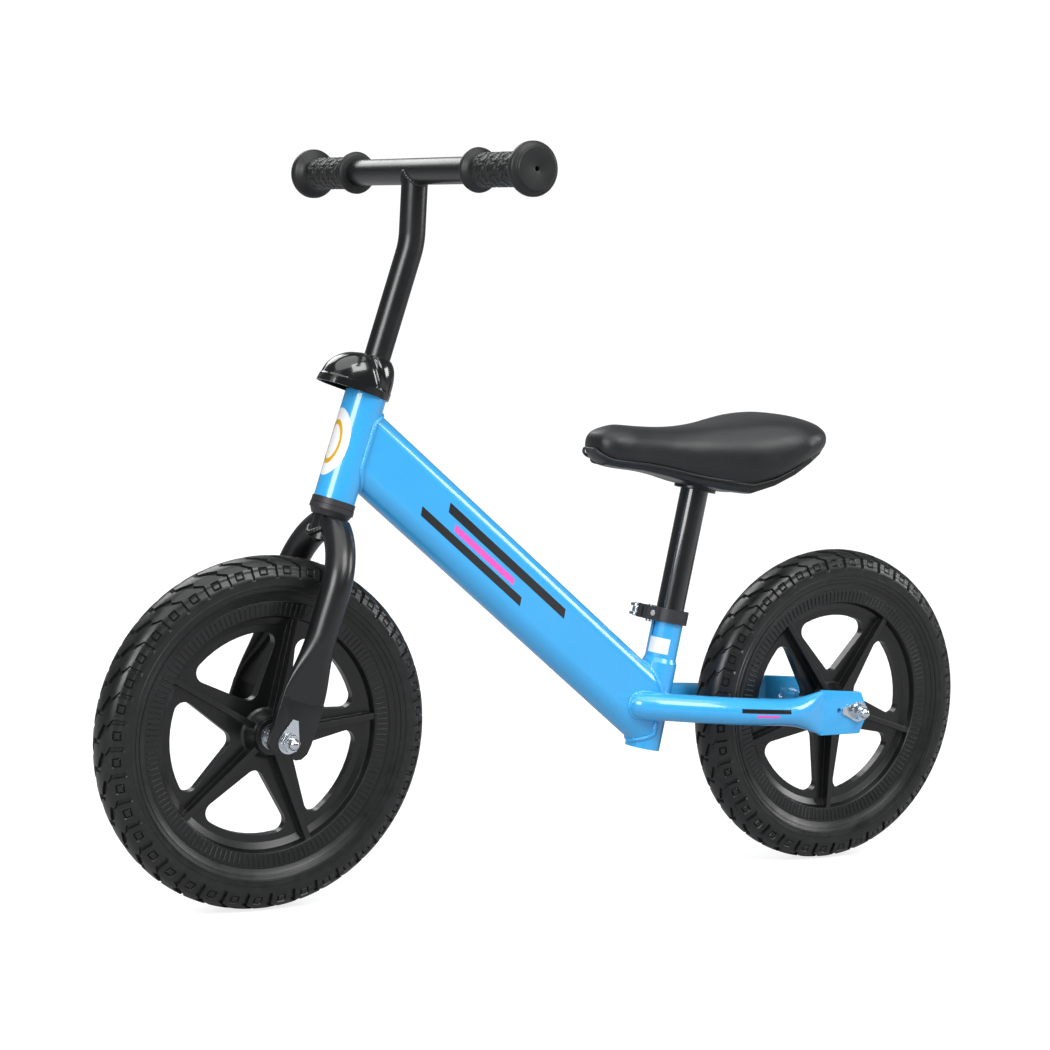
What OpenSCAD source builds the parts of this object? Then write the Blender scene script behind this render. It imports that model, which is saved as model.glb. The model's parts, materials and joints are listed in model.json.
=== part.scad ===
// Child's balance bike: two wheels, no pedals, a height-adjustable bar and saddle.
// +X is forward, +Y is the rider's left and +Z is up. The origin is on the floor, at
// the middle of the bike's outer box. All sizes are in millimetres.

/* [Wheels] */
// Outer diameter of both tyres
wheel_d = 294; // [288:1:298]
// Distance between the two axles
wheelbase = 592; // [586:1:600]
// Width of each tyre at its widest
tyre_w = 41; // [38:1:46]
// Diameter at which tyre and rim meet on the side face
rim_d = 222; // [218:1:224]
// Number of spokes in each wheel
spokes = 5; // [4:1:6]

/* [Frame] */
// Backward lean of the steering axis, in degrees from upright
head_lean = 15.9; // [15:0.1:17]
// Outer diameter of the head tube
head_d = 35; // [34:0.5:36]
// Downward slope of the down tube, in degrees
down_slope = 37.5; // [37:0.1:38]
// Height of the down tube's oval section
down_h = 62.3; // [56:0.1:64]
// Width of the down tube's oval section
down_w = 31.6; // [30:0.2:31.6]
// Backward lean of the seat tube, in degrees from upright
seat_lean = 10; // [9.5:0.1:10.5]
// Outer diameter of the seat tube's upper part
seat_tube_d = 28.6; // [28.6:0.1:29]
// Outer diameter of each rear stay
stay_d = 25; // [23:0.5:26]

/* [Adjustment] */
// Outer diameter of the saddle post
post_d = 25.4; // [25:0.1:25.4]
// Outer diameter of the stem tube and of the handlebar
bar_d = 22.2; // [21.6:0.1:22.2]
// Overall width of the handlebar, from one grip's end to the other's
bar_w = 382; // [360:1:400]
// Length of each grip
grip_l = 91; // [84:1:95]

/* [Hidden] */

$fn = 96;
hull_fn = 32;
gap = 0.05;          // radial clearance of running and sliding fits
eps = 0.5;           // overshoot of cutting shapes

// Wheel centres
axle_z = wheel_d / 2;
front_x = wheelbase / 2;
rear_x = -wheelbase / 2;
fork_rake = 1.2;     // the axle lies this far ahead of the steering axis

// Tyre and rim
rim_r = rim_d / 2;
tyre_crown_w = 35.2; // width of the tyre where the rounded tread begins
tyre_crown_h = 10;
bead_r = rim_r - 5;  // floor of the rim's outer channel
bead_w = 24;
rim_face_w = 28.4;
ring_in_r = rim_r - 13;   // inner edge of the serrated side ring
ring_in_w = 25.4;
web_r = rim_r - 20;       // the web meets the ring wall here
web_w = 8;
window_out_r = rim_r - 26;
window_corner_r = 9;
window_arc_steps = 4;  // circles that shape the outer arc, on each side of its middle
window_tip_r = 40;        // centre of the rounded inner corner
hub_w = 40;
hub_end_r = 15.4;
hub_root_r = 20;
rib_w = 5;
rim_bore_r = 9;
spoke_phase_front = 29.4;
spoke_phase_rear = 53;

// Axles and ball bearings, 22 x 8 x 7
axle_d = 8;
brg_d = 22;
brg_w = 7;
brg_ball_d = 3.9;
brg_pitch_r = 7.5;
brg_balls = 7;

// Axle stack, measured outwards from the middle of the bike
plate_in = 41.6;
plate_t = 5;
plate_out = plate_in + plate_t;
washer_t = 1.6;
nut_af = 13;
nut_h = 6;
nut_dome_r = 5;
axle_l = 2 * (plate_out + washer_t + nut_h + 3);

// Steering column, heights measured along the axis from axle height
head_bottom_s = 200;
head_top_s = 292;
head_bore_d = 30.2;
steerer_d = 25.4;
steerer_bore_d = bar_d + 2 * gap;
steerer_bottom_s = 165;
steerer_top_s = 315.6;
cup_h = 5;
cup_d = 37;
upper_cup_d = 34.3;     // small enough to sit inside the cover
ball_d = 3.97;
ball_pitch_r = 14.75;
ball_count = 20;
adjusting_race_d = 33.6;  // small enough to clear the cover's back wall
lock_nut_d = 32.6;
lower_ball_s = head_bottom_s - 3.6;
upper_ball_s = head_top_s + 3.6;
crown_s = 185.5;

// Fork legs
leg_d = 25;
leg_wall = 1.5;
leg_y = plate_in + plate_t / 2;
leg_bend_r = 60;
leg_bend_s = 125;
leg_back = -1.6;      // the legs' centre line lies this far behind the axis
leg_flat_s = 92;      // the squashing of the tube starts here
plate_s = 34;         // and ends here, where the flat plate begins

// Stem and bar
stem_bottom_s = 232;
stem_bend_s = 414;
stem_bend_r = 70;
stem_bend = head_lean;  // the bend brings the stem upright
stem_bend_x = stem_bend_r * (1 - cos(stem_bend));
stem_top_s = stem_bend_s + stem_bend_r * sin(stem_bend);
bar_x = front_x - fork_rake / cos(head_lean) - stem_top_s * sin(head_lean)
    + stem_bend_x * cos(head_lean);
bar_z = 614;
bar_wall = 1.6;

// Down tube: its centre line crosses the steering axis at this height
down_s = 253;

// Seat tube, heights measured along its axis from the tube's lower end
seat_x = rear_x + 210.1;
seat_z = 115.1;
seat_low_d = 31.8;
seat_low_bore_d = 28.6;
seat_step_u = 79;
seat_swage = 4;
seat_slot_w = 2.4;
seat_top_u = 128;
seat_bore_d = post_d + 2 * gap;
collar_u = 115.5;
collar_h = 12.5;
collar_d = 34.6;
post_bottom_u = 85;
post_top_u = 241;
saddle_bolt_d = 8;
saddle_head_u = post_top_u + 7;
collar_slit = 2.4;

// Rear stays
stay_wall = 1.5;
stay_crease_x = rear_x + 41;

// ---------------------------------------------------------------- helpers

// Signed power, for rounded rectangles
function spow(v, e) = sign(v) * pow(abs(v), e);

// Closed ring of points: centre c, half sizes a along u and b along v,
// e = 1 for an ellipse and smaller for a squarer outline
function ring(c, u, v, a, b, e = 1, n = 32) =
    [for (i = [0 : n - 1]) let (t = 360 * i / n)
        c + u * (a * spow(cos(t), e)) + v * (b * spow(sin(t), e))];

// Solid through a list of rings that all have the same number of points
module loft(rings) {
    n = len(rings[0]);
    m = len(rings);
    pts = [for (r = rings) for (p = r) p];
    sides = [for (k = [0 : m - 2]) for (i = [0 : n - 1]) let (j = (i + 1) % n)
        each [[k * n + i, (k + 1) * n + j, k * n + j],
              [k * n + i, (k + 1) * n + i, (k + 1) * n + j]]];
    first = [for (i = [0 : n - 1]) i];
    last = [for (i = [n - 1 : -1 : 0]) (m - 1) * n + i];
    polyhedron(points = pts, faces = concat(sides, [first, last]));
}

// Linear blend between two values
function mix(a, b, t) = a + (b - a) * t;

// Smooth step from 0 to 1
function ease(t) = t * t * (3 - 2 * t);

// Puts children in the steering frame: Z runs up the axis, X points forward
module steering() {
    translate([front_x - fork_rake / cos(head_lean), 0, axle_z])
        rotate([0, -head_lean, 0]) children();
}

// Puts children in the seat tube's frame: Z runs up its axis from its lower end
module seating() {
    translate([seat_x, 0, seat_z]) rotate([0, -seat_lean, 0]) children();
}

// Turns a shape made around Z so that it lies around the wheel's axis
module around_axle(x) {
    translate([x, 0, axle_z]) rotate([90, 0, 0]) children();
}

module tube(d, bore, z0, z1) {
    difference() {
        translate([0, 0, z0]) cylinder(d = d, h = z1 - z0);
        translate([0, 0, z0 - eps]) cylinder(d = bore, h = z1 - z0 + 2 * eps);
    }
}

// Oval bar of the down tube's section, along X, as wide and high as asked
module oval_bar(w, h, length) {
    r = w / 2;
    rotate([90, 0, 90]) linear_extrude(length) {
        translate([0, h / 2 - r]) circle(r = r);
        translate([0, -(h / 2 - r)]) circle(r = r);
        square([w, h - w], center = true);
    }
}

// ---------------------------------------------------------------- frame

module head_tube() {
    color("deepskyblue") steering() difference() {
        tube(head_d, head_bore_d, head_bottom_s, head_top_s);
    }
}

// Places children at the down tube's crossing with the steering axis, X down the tube
module along_down_tube() {
    steering() translate([0, 0, down_s]) rotate([0, head_lean, 0])
        rotate([0, 180 - down_slope, 0]) children();
}

module down_tube() {
    reach = 460;
    wall = 1.6;
    color("deepskyblue") difference() {
        along_down_tube() oval_bar(down_w, down_h, reach);
        along_down_tube() translate([-eps, 0, 0])
            oval_bar(down_w - 2 * wall, down_h - 2 * wall, reach + 2 * eps);
        steering() translate([0, 0, head_bottom_s - 60])
            cylinder(d = head_d, h = head_top_s - head_bottom_s + 120);
        seating() translate([0, 0, -60]) cylinder(d = seat_low_d, h = seat_top_u + 60);
        seating() translate([-200, -50, -60]) cube([200, 100, seat_top_u + 120]);
    }
}

// Upright bar with a wide lower run, a short taper and a narrow upper run
module swaged_bar(low_d, top_d, over) {
    translate([0, 0, -over]) cylinder(d = low_d, h = seat_step_u + over);
    translate([0, 0, seat_step_u]) cylinder(d1 = low_d, d2 = top_d, h = seat_swage);
    translate([0, 0, seat_step_u + seat_swage])
        cylinder(d = top_d, h = seat_top_u - seat_step_u - seat_swage + over);
}

module seat_tube() {
    color("deepskyblue") seating() difference() {
        swaged_bar(seat_low_d, seat_tube_d, 0);
        swaged_bar(seat_low_bore_d, seat_bore_d, eps);
        // slot that lets the collar squeeze the tube
        translate([0, -seat_slot_w / 2, seat_top_u - 26]) cube([30, seat_slot_w, 30]);
    }
}

// Centre line of the left stay, from its closed front end to its flat plate:
// [x, y, z, half width, half height, squareness]
stay_r = stay_d / 2;
stay_stations = [
    [rear_x + 234, 9.5, 157.6, 5.5, 6, 1],
    [rear_x + 231, 12.5, 157.5, 9, 9.6, 1],
    [rear_x + 226, 16.5, 157.3, 11.6, 11.8, 1],
    [rear_x + 218, 20.6, 156.8, stay_r, stay_r, 1],
    [rear_x + 198, 28, 155.8, stay_r, stay_r, 1],
    [rear_x + 176, 35.4, 154.6, stay_r, stay_r, 1],
    [rear_x + 156, 40, 153.4, stay_r, stay_r, 1],
    [rear_x + 136, 42.8, 152.2, stay_r, stay_r, 1],
    [rear_x + 112, 44, 150.8, stay_r, stay_r, 1],
    [rear_x + 86, 44.1, 149.4, stay_r, stay_r, 1],
    [rear_x + 72, 44.1, 148.7, stay_r - 1.6, stay_r + 0.8, 0.95],
    [rear_x + 58, 44.1, 148.0, stay_r - 5, stay_r + 3.6, 0.85],
    [rear_x + 48, 44.1, 147.5, stay_r - 8, stay_r + 6.2, 0.6],
    [stay_crease_x, 44.1, 147.1, plate_t / 2, stay_r + 8, 0.3],
    [stay_crease_x - 4, 44.1, 147.0, plate_t / 2, stay_r + 8, 0.12]
];

function stay_rings(inset) = [for (k = [0 : len(stay_stations) - 1])
    let (s = stay_stations[k],
         p = stay_stations[max(k - 1, 0)],
         q = stay_stations[min(k + 1, len(stay_stations) - 1)],
         dx = q[0] - p[0], dy = q[1] - p[1], d = sqrt(dx * dx + dy * dy))
    ring([s[0], s[1], s[2]], [-dy / d, dx / d, 0], [0, 0, 1],
         s[3] - inset, s[4] - inset, s[5])];

// Rear end of a stay: a flat plate with a slot for the axle and a hole for the tab
module stay_plate() {
    top = 168.2 - axle_z;
    low = 126 - axle_z;
    translate([rear_x, plate_out, axle_z]) rotate([90, 0, 0]) linear_extrude(plate_t)
        difference() {
            polygon([[38, top], [-3, top - 3], [-12, 6], [-4, low], [38, low]]);
            circle(d = axle_d + 0.2);
            translate([-30, -(axle_d + 0.2) / 2]) square([30, axle_d + 0.2]);
            translate([22, 1.5]) circle(d = 5);
            translate([14, 0.2]) square([8, 2.6]);
        }
}

module rear_stay() {
    round_run = len([for (s = stay_stations) if (s[5] == 1) s]);
    hollow = [for (k = [2 : round_run - 1]) stay_rings(stay_wall)[k]];
    difference() {
        union() {
            difference() {
                loft(stay_rings(0));
                loft(hollow);
            }
            stay_plate();
        }
        seating() translate([0, 0, -60]) cylinder(d = seat_low_d, h = seat_top_u + 60);
        along_down_tube() oval_bar(down_w, down_h, 460);
        translate([rear_x, -100, 0]) cube([400, 100, 300]);
    }
}

module left_rear_stay() { color("deepskyblue") rear_stay(); }
module right_rear_stay() { color("deepskyblue") mirror([0, 1, 0]) rear_stay(); }

// ---------------------------------------------------------------- headset

// A bearing cup pressed in the head tube; it opens away from the tube
module headset_cup(outer_d) {
    skirt = 8;
    difference() {
        union() {
            cylinder(d = outer_d, h = cup_h);
            translate([0, 0, -skirt]) cylinder(d = head_bore_d, h = skirt + eps);
        }
        translate([0, 0, -skirt - eps]) cylinder(d = 26.6, h = skirt + cup_h + 2 * eps);
        // ball track
        translate([0, 0, 3.6]) rotate_extrude() translate([ball_pitch_r, 0])
            circle(r = ball_d / 2 + gap);
        translate([0, 0, 3.6]) cylinder(r = ball_pitch_r, h = 4);
    }
}

module upper_headset_cup() {
    color("dimgray") steering() translate([0, 0, head_top_s])
        headset_cup(upper_cup_d);
}

module lower_headset_cup() {
    color("dimgray") steering() translate([0, 0, head_bottom_s]) mirror([0, 0, 1])
        headset_cup(cup_d);
}

module headset_balls() {
    color("silver") steering() for (s = [lower_ball_s, upper_ball_s])
        for (i = [0 : ball_count - 1]) rotate([0, 0, 360 * i / ball_count])
            translate([ball_pitch_r, 0, s]) sphere(d = ball_d, $fn = 24);
}

// Race that presses on the balls, grooved on its lower side
module race(outer_d, h) {
    difference() {
        union() {
            translate([0, 0, 1.7]) cylinder(d = outer_d, h = h - 1.7);
            cylinder(r = ball_pitch_r - 0.2, h = 2);
        }
        translate([0, 0, -eps]) cylinder(d = steerer_d, h = h + 2 * eps);
        rotate_extrude() translate([ball_pitch_r, 0]) circle(r = ball_d / 2 + gap);
    }
}

module crown_race() {
    h = lower_ball_s - crown_s;
    color("dimgray") steering() translate([0, 0, lower_ball_s]) mirror([0, 0, 1]) {
        race(37.6, 6);
        difference() {
            translate([0, 0, 6]) cylinder(d1 = 36, d2 = 31, h = h - 6);
            translate([0, 0, 5]) cylinder(d = steerer_d, h = h);
        }
    }
}

module adjusting_race() {
    color("dimgray") steering() translate([0, 0, upper_ball_s]) race(adjusting_race_d, 6);
}

module headset_lock_nut() {
    s0 = upper_ball_s + 6.2;
    color("dimgray") steering() difference() {
        translate([0, 0, s0]) cylinder(d = lock_nut_d, h = 4, $fn = 6);
        translate([0, 0, s0 - eps]) cylinder(d = steerer_d, h = 5);
    }
}

// ---------------------------------------------------------------- fork

module steerer_tube() {
    color("dimgray") steering()
        tube(steerer_d, steerer_bore_d, steerer_bottom_s, steerer_top_s);
}

// Rings down a leg: an arc that springs from the steerer, a straight run, and the
// stretch where the round tube is squashed to a flat plate
function leg_arc(inset) = [for (a = [78 : -6 : 0])
    ring([leg_back, leg_y - leg_bend_r * (1 - cos(a)), leg_bend_s + leg_bend_r * sin(a)],
         [1, 0, 0], [0, -cos(a), -sin(a)], leg_d / 2 - inset, leg_d / 2 - inset)];

// The squashed stretch ends inside the plate, a little thinner and narrower than it
leg_end_a = 19.1;
leg_end_b = plate_t / 2 - 0.2;

function leg_squash() = concat([for (k = [0 : 8])
    let (t = k / 8, w = ease(t))
    ring([leg_back - 0.1 * t, leg_y, mix(leg_flat_s, plate_s, t)], [1, 0, 0], [0, -1, 0],
         mix(leg_d / 2, leg_end_a, w), mix(leg_d / 2, leg_end_b, w), mix(1, 0.3, w * w))],
    [ring([leg_back - 0.1, leg_y, plate_s - 5], [1, 0, 0], [0, -1, 0],
          leg_end_a, leg_end_b, 0.3)]);

// Flat lower end of a leg with its slot for the axle
module leg_plate() {
    slot_w = axle_d + 0.2;
    mouth_w = axle_d + 0.1;
    translate([0, plate_out, 0]) rotate([90, 0, 0]) linear_extrude(plate_t) difference() {
        polygon([[-21.1, plate_s], [-21, 18], [-20.2, 2], [-19, -6], [-15, -11.4],
                 [-10, -13.2], [-4, -12.8], [9, -11], [14.5, -9.6], [17.6, -5],
                 [17.8, 18], [17.7, plate_s]]);
        translate([fork_rake, 0]) circle(d = slot_w);
        translate([fork_rake, 0]) rotate(-17) translate([-mouth_w / 2, -20])
            square([mouth_w, 20]);
    }
}

module fork_leg() {
    straight = [ring([leg_back, leg_y, leg_flat_s + 6], [1, 0, 0], [0, -1, 0],
                     leg_d / 2 - leg_wall, leg_d / 2 - leg_wall)];
    difference() {
        union() {
            difference() {
                loft(concat(leg_arc(0), leg_squash()));
                loft(concat(leg_arc(leg_wall), straight));
            }
            leg_plate();
        }
        translate([0, 0, steerer_bottom_s - 60]) cylinder(d = steerer_d, h = 200);
        translate([-50, -50, crown_s]) cube([100, 100, 60]);
        translate([-50, -100, 0]) cube([100, 100, 240]);
    }
}

module left_fork_leg() { color("dimgray") steering() fork_leg(); }
module right_fork_leg() { color("dimgray") steering() mirror([0, 1, 0]) fork_leg(); }

// ---------------------------------------------------------------- stem clamp and cover

clamp_s = upper_ball_s + 10.6;
clamp_h = 9;
clamp_d = 28.6;
clamp_ear_x = 19.5;

module stem_clamp() {
    color("dimgray") steering() difference() {
        union() {
            translate([0, 0, clamp_s]) cylinder(d = clamp_d, h = clamp_h);
            translate([10, -8, clamp_s]) cube([15.5, 16, clamp_h]);
        }
        translate([0, 0, clamp_s - eps]) cylinder(d = steerer_d, h = clamp_h + 2 * eps);
        translate([10, -1, clamp_s - eps]) cube([30, 2, clamp_h + 2 * eps]);
        translate([clamp_ear_x, 20, clamp_s + clamp_h / 2]) rotate([90, 0, 0])
            cylinder(d = 6.3, h = 40);
    }
}

module stem_clamp_bolt() {
    color("silver") steering() translate([clamp_ear_x, 0, clamp_s + clamp_h / 2])
        rotate([90, 0, 0]) {
            translate([0, 0, 8]) cylinder(d = 9, h = 4);
            translate([0, 0, -12.5]) cylinder(d = 6, h = 21);
        }
}

module stem_clamp_nut() {
    color("silver") steering() translate([clamp_ear_x, 8, clamp_s + clamp_h / 2])
        rotate([-90, 0, 0]) difference() {
            cylinder(d = 10.4, h = 4.2, $fn = 6);
            translate([0, 0, -eps]) cylinder(d = 6.05, h = 6);
        }
}

// Bell-shaped plastic cover: a round lobe about the stem and one that juts forward.
// Rings run from the open rim upwards: [height, back, front, half width]
cover_rim_s = 291;
cover_stations = [
    [0, -19.0, 45.6, 20.6],
    [8, -19.4, 43.8, 20.4],
    [15, -19.2, 41.6, 19.6],
    [21, -18.4, 37.6, 18.2],
    [26, -17.0, 32.0, 16.2],
    [30, -14.6, 24.6, 13.8],
    [32, -12.4, 17.0, 11.8]
];

function cover_rings(inset) = [for (c = cover_stations)
    ring([(c[1] + c[2]) / 2, 0, cover_rim_s + c[0]], [1, 0, 0], [0, 1, 0],
         (c[2] - c[1]) / 2 - inset, c[3] - inset, 0.86, 40)];

module stem_cover() {
    wall = 1.2;
    inner = [for (k = [0 : 5]) cover_rings(wall)[k]];
    color("dimgray") steering() difference() {
        loft(cover_rings(0));
        loft(inner);
        translate([0, 0, cover_rim_s - 1]) cylinder(d = head_d + 2.4, h = 5);
        translate([-18, -19, cover_rim_s - 1]) cube([60, 38, 1.02]);
        cylinder(d = bar_d + 0.8, h = 400);
    }
}

// ---------------------------------------------------------------- bar

// Rings up the stem in the steering frame: a straight run, a bend and an upright run
function stem_rings(r, low) =
    let (up = [for (k = [0 : 5]) stem_bend * k / 5],
         bend = [for (a = up)
             ring([stem_bend_r * (1 - cos(a)), 0, stem_bend_s + stem_bend_r * sin(a)],
                  [cos(a), 0, -sin(a)], [0, 1, 0], r, r, 1, 48)],
         end = ring([stem_bend_x + 50 * sin(stem_bend), 0, stem_top_s + 50 * cos(stem_bend)],
                    [cos(stem_bend), 0, -sin(stem_bend)], [0, 1, 0], r, r, 1, 48))
    concat([ring([0, 0, low], [1, 0, 0], [0, 1, 0], r, r, 1, 48)], bend, [end]);

// The stem's top is coped to half of the bar's depth and welded there
module stem() {
    color("dimgray") difference() {
        steering() loft(stem_rings(bar_d / 2, stem_bottom_s));
        steering() loft(stem_rings(bar_d / 2 - bar_wall, stem_bottom_s - eps));
        translate([bar_x, 100, bar_z]) rotate([90, 0, 0]) cylinder(d = bar_d, h = 200);
        translate([bar_x - 60, -50, bar_z - bar_d / 4]) cube([120, 100, 90]);
    }
}

module handlebar() {
    color("dimgray") translate([bar_x, 0, bar_z]) rotate([90, 0, 0])
        tube(bar_d, bar_d - 2 * bar_wall, -bar_w / 2 + 4, bar_w / 2 - 4);
}

// Rubber grip with a large outer flange, a small inner one and a raised end disc
module grip() {
    r = 13;
    bore = bar_d / 2;
    z1 = bar_w / 2;
    z0 = z1 - grip_l;
    translate([bar_x, 0, bar_z]) rotate([-90, 0, 0]) rotate_extrude() polygon([
        [bore, z0], [16, z0], [17.6, z0 + 1], [18.2, z0 + 3.2], [17.2, z0 + 5.6],
        [r + 0.8, z0 + 9], [r, z0 + 13], [r, z1 - 20],
        [r + 1.4, z1 - 15.5], [19.4, z1 - 11.6], [21.6, z1 - 8], [21.6, z1 - 5.4],
        [20.4, z1 - 3.4], [17.6, z1 - 2.6], [17.2, z1 - 0.6], [16.4, z1], [2, z1],
        [2, z1 - 3.8], [bore, z1 - 3.8]]);
}

module left_grip() { color("dimgray") grip(); }
module right_grip() { color("dimgray") mirror([0, 1, 0]) grip(); }

// ---------------------------------------------------------------- wheels

// Outer half of the tyre's section, from the bead to the crown
tyre_half = concat(
    [[bead_r, bead_w / 2], [rim_r, bead_w / 2], [rim_r, rim_face_w / 2],
     [rim_r + 3, 15.4], [rim_r + 8.6, 18.2], [rim_r + 14, tyre_w / 2 - 0.6],
     [rim_r + 19, tyre_w / 2], [rim_r + 23, tyre_w / 2 - 1]],
    [for (i = [0 : 6]) let (t = 90 - 15 * i)
        [axle_z - tyre_crown_h + tyre_crown_h * cos(t), tyre_crown_w / 2 * sin(t)]]
);

module tyre_body() {
    n = len(tyre_half);
    rotate_extrude() polygon(concat(tyre_half,
        [for (i = [n - 2 : -1 : 0]) [tyre_half[i][0], -tyre_half[i][1]]]));
}

// Moulded rim: a channel for the tyre, a thin web with windows, ribbed spokes and a hub
module rim_body(phase) {
    half = [[rim_bore_r, hub_w / 2], [hub_end_r, hub_w / 2],
            [hub_end_r + 0.4, hub_w / 2 - 4], [hub_root_r, web_w / 2 + 1.4],
            [hub_root_r + 2, web_w / 2], [web_r, web_w / 2],
            [ring_in_r - 1.4, web_w / 2 + 2.6], [ring_in_r, ring_in_w / 2 - 1],
            [ring_in_r + 0.6, ring_in_w / 2], [rim_r, rim_face_w / 2], [rim_r, bead_w / 2],
            [bead_r, bead_w / 2]];
    profile = concat(half, [for (i = [len(half) - 1 : -1 : 0]) [half[i][0], -half[i][1]]]);
    difference() {
        union() {
            rotate_extrude() polygon(profile);
            for (k = [0 : spokes - 1]) rotate(phase + 360 * k / spokes)
                for (m = [0, 1]) mirror([0, 0, m]) rotate([90, 0, 0])
                    translate([0, 0, -rib_w / 2]) linear_extrude(rib_w)
                        polygon([[14, 0], [14, 14.5], [ring_in_r + 1, 11.4],
                                 [ring_in_r + 1, 0]]);
        }
        for (k = [0 : spokes - 1]) rotate(phase + 360 * (k + 0.5) / spokes)
            translate([0, 0, -20]) linear_extrude(40) hull() {
                span = 180 / spokes - 14.3;
                out = window_out_r - window_corner_r;
                translate([window_tip_r, 0]) circle(r = 8.5, $fn = hull_fn);
                for (a = [-span : span / window_arc_steps : span])
                    translate([out * cos(a), out * sin(a)])
                        circle(r = window_corner_r, $fn = hull_fn);
            }
        // pockets for the two ball bearings
        for (m = [0, 1]) mirror([0, 0, m]) translate([0, 0, hub_w / 2 - brg_w])
            cylinder(d = brg_d, h = brg_w + eps);
    }
}

module bearing_outer_ring() {
    difference() {
        cylinder(d = brg_d, h = brg_w);
        translate([0, 0, -eps]) cylinder(d = 18, h = brg_w + 2 * eps);
        translate([0, 0, brg_w / 2]) rotate_extrude() translate([brg_pitch_r, 0])
            circle(d = brg_ball_d + 0.06);
    }
    // dust shield
    difference() {
        translate([0, 0, brg_w - 0.8]) cylinder(d = 18, h = 0.5);
        translate([0, 0, brg_w - 1]) cylinder(d = 12.6, h = 1);
    }
}

module bearing_inner_ring() {
    difference() {
        cylinder(d = 12, h = brg_w);
        translate([0, 0, -eps]) cylinder(d = axle_d, h = brg_w + 2 * eps);
        translate([0, 0, brg_w / 2]) rotate_extrude() translate([brg_pitch_r, 0])
            circle(d = brg_ball_d + 0.06);
    }
}

module bearing_balls() {
    for (i = [0 : brg_balls - 1]) rotate(360 * i / brg_balls)
        translate([brg_pitch_r, 0, brg_w / 2]) sphere(d = brg_ball_d, $fn = 24);
}

// Puts children in both of a hub's bearing pockets, facing outwards
module at_bearings(x) {
    around_axle(x) for (m = [0, 1]) mirror([0, 0, m])
        translate([0, 0, hub_w / 2 - brg_w]) children();
}

module axle(x) {
    around_axle(x) cylinder(d = axle_d, h = axle_l, center = true);
}

// Tubes on the axle between the bearings' inner rings, and from them to the frame
module axle_spacers(x) {
    around_axle(x) {
        for (m = [0, 1]) mirror([0, 0, m]) tube(12, axle_d, hub_w / 2, plate_in);
        tube(11, axle_d, -(hub_w / 2 - brg_w), hub_w / 2 - brg_w);
    }
}

// Safety washer whose tab hooks in the frame: a round disc with a pointed tongue
module tab_washer(turn) {
    rotate(turn) difference() {
        union() {
            cylinder(r = 9.4, h = washer_t);
            linear_extrude(washer_t)
                polygon([[-8.2, 4.6], [-2.6, 19], [2.6, 19], [8.2, 4.6], [0, 0]]);
        }
        translate([0, 0, -eps]) cylinder(d = axle_d, h = washer_t + 2 * eps);
    }
}

module tab_washers(x, turn) {
    for (side = [-1, 1])
        around_axle(x) translate([0, 0, side > 0 ? plate_out : -plate_out - washer_t])
            tab_washer(turn);
}

// Domed cap nut with a flange, standing on a washer
module cap_nut() {
    difference() {
        union() {
            cylinder(r = 7.8, h = 1.2);
            translate([0, 0, 1]) cylinder(d = nut_af / cos(30), h = nut_h - 1, $fn = 6);
            translate([0, 0, nut_h - 0.1]) cylinder(r = nut_dome_r, h = 2.6);
            translate([0, 0, nut_h + 2.5]) sphere(r = nut_dome_r, $fn = 48);
        }
        translate([0, 0, -eps]) cylinder(d = axle_d, h = nut_h + 3 + eps);
    }
}

module axle_nuts(x) {
    around_axle(x) for (m = [0, 1]) mirror([0, 0, m])
        translate([0, 0, plate_out + washer_t]) cap_nut();
}

module front_tyre() { color("dimgray") around_axle(front_x) tyre_body(); }
module rear_tyre() { color("dimgray") around_axle(rear_x) tyre_body(); }
module front_rim() { color("dimgray") around_axle(front_x) rim_body(spoke_phase_front); }
module rear_rim() { color("dimgray") around_axle(rear_x) rim_body(spoke_phase_rear); }
module front_bearing_outer_rings() { color("silver") at_bearings(front_x) bearing_outer_ring(); }
module rear_bearing_outer_rings() { color("silver") at_bearings(rear_x) bearing_outer_ring(); }
module front_bearing_inner_rings() { color("silver") at_bearings(front_x) bearing_inner_ring(); }
module rear_bearing_inner_rings() { color("silver") at_bearings(rear_x) bearing_inner_ring(); }
module front_bearing_balls() { color("silver") at_bearings(front_x) bearing_balls(); }
module rear_bearing_balls() { color("silver") at_bearings(rear_x) bearing_balls(); }
module front_axle() { color("silver") axle(front_x); }
module rear_axle() { color("silver") axle(rear_x); }
module front_axle_spacers() { color("silver") axle_spacers(front_x); }
module rear_axle_spacers() { color("silver") axle_spacers(rear_x); }
module front_tab_washers() { color("silver") tab_washers(front_x, head_lean); }
module rear_tab_washers() { color("silver") tab_washers(rear_x, -86); }
module front_axle_nuts() { color("silver") axle_nuts(front_x); }
module rear_axle_nuts() { color("silver") axle_nuts(rear_x); }

// ---------------------------------------------------------------- saddle and collar

ear_x = 24;           // centre of the collar's cross bolt, ahead of the tube's axis
ear_half = 8;         // half the width over both ears
lever_y = -17;        // pivot pin of the quick-release lever
eye_half = 2.4;       // half the height of the skewer's eye
lever_half = 5.5;     // from the skewer to the heads of the pivot pin
skewer_u = collar_u + collar_h / 2;

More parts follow.
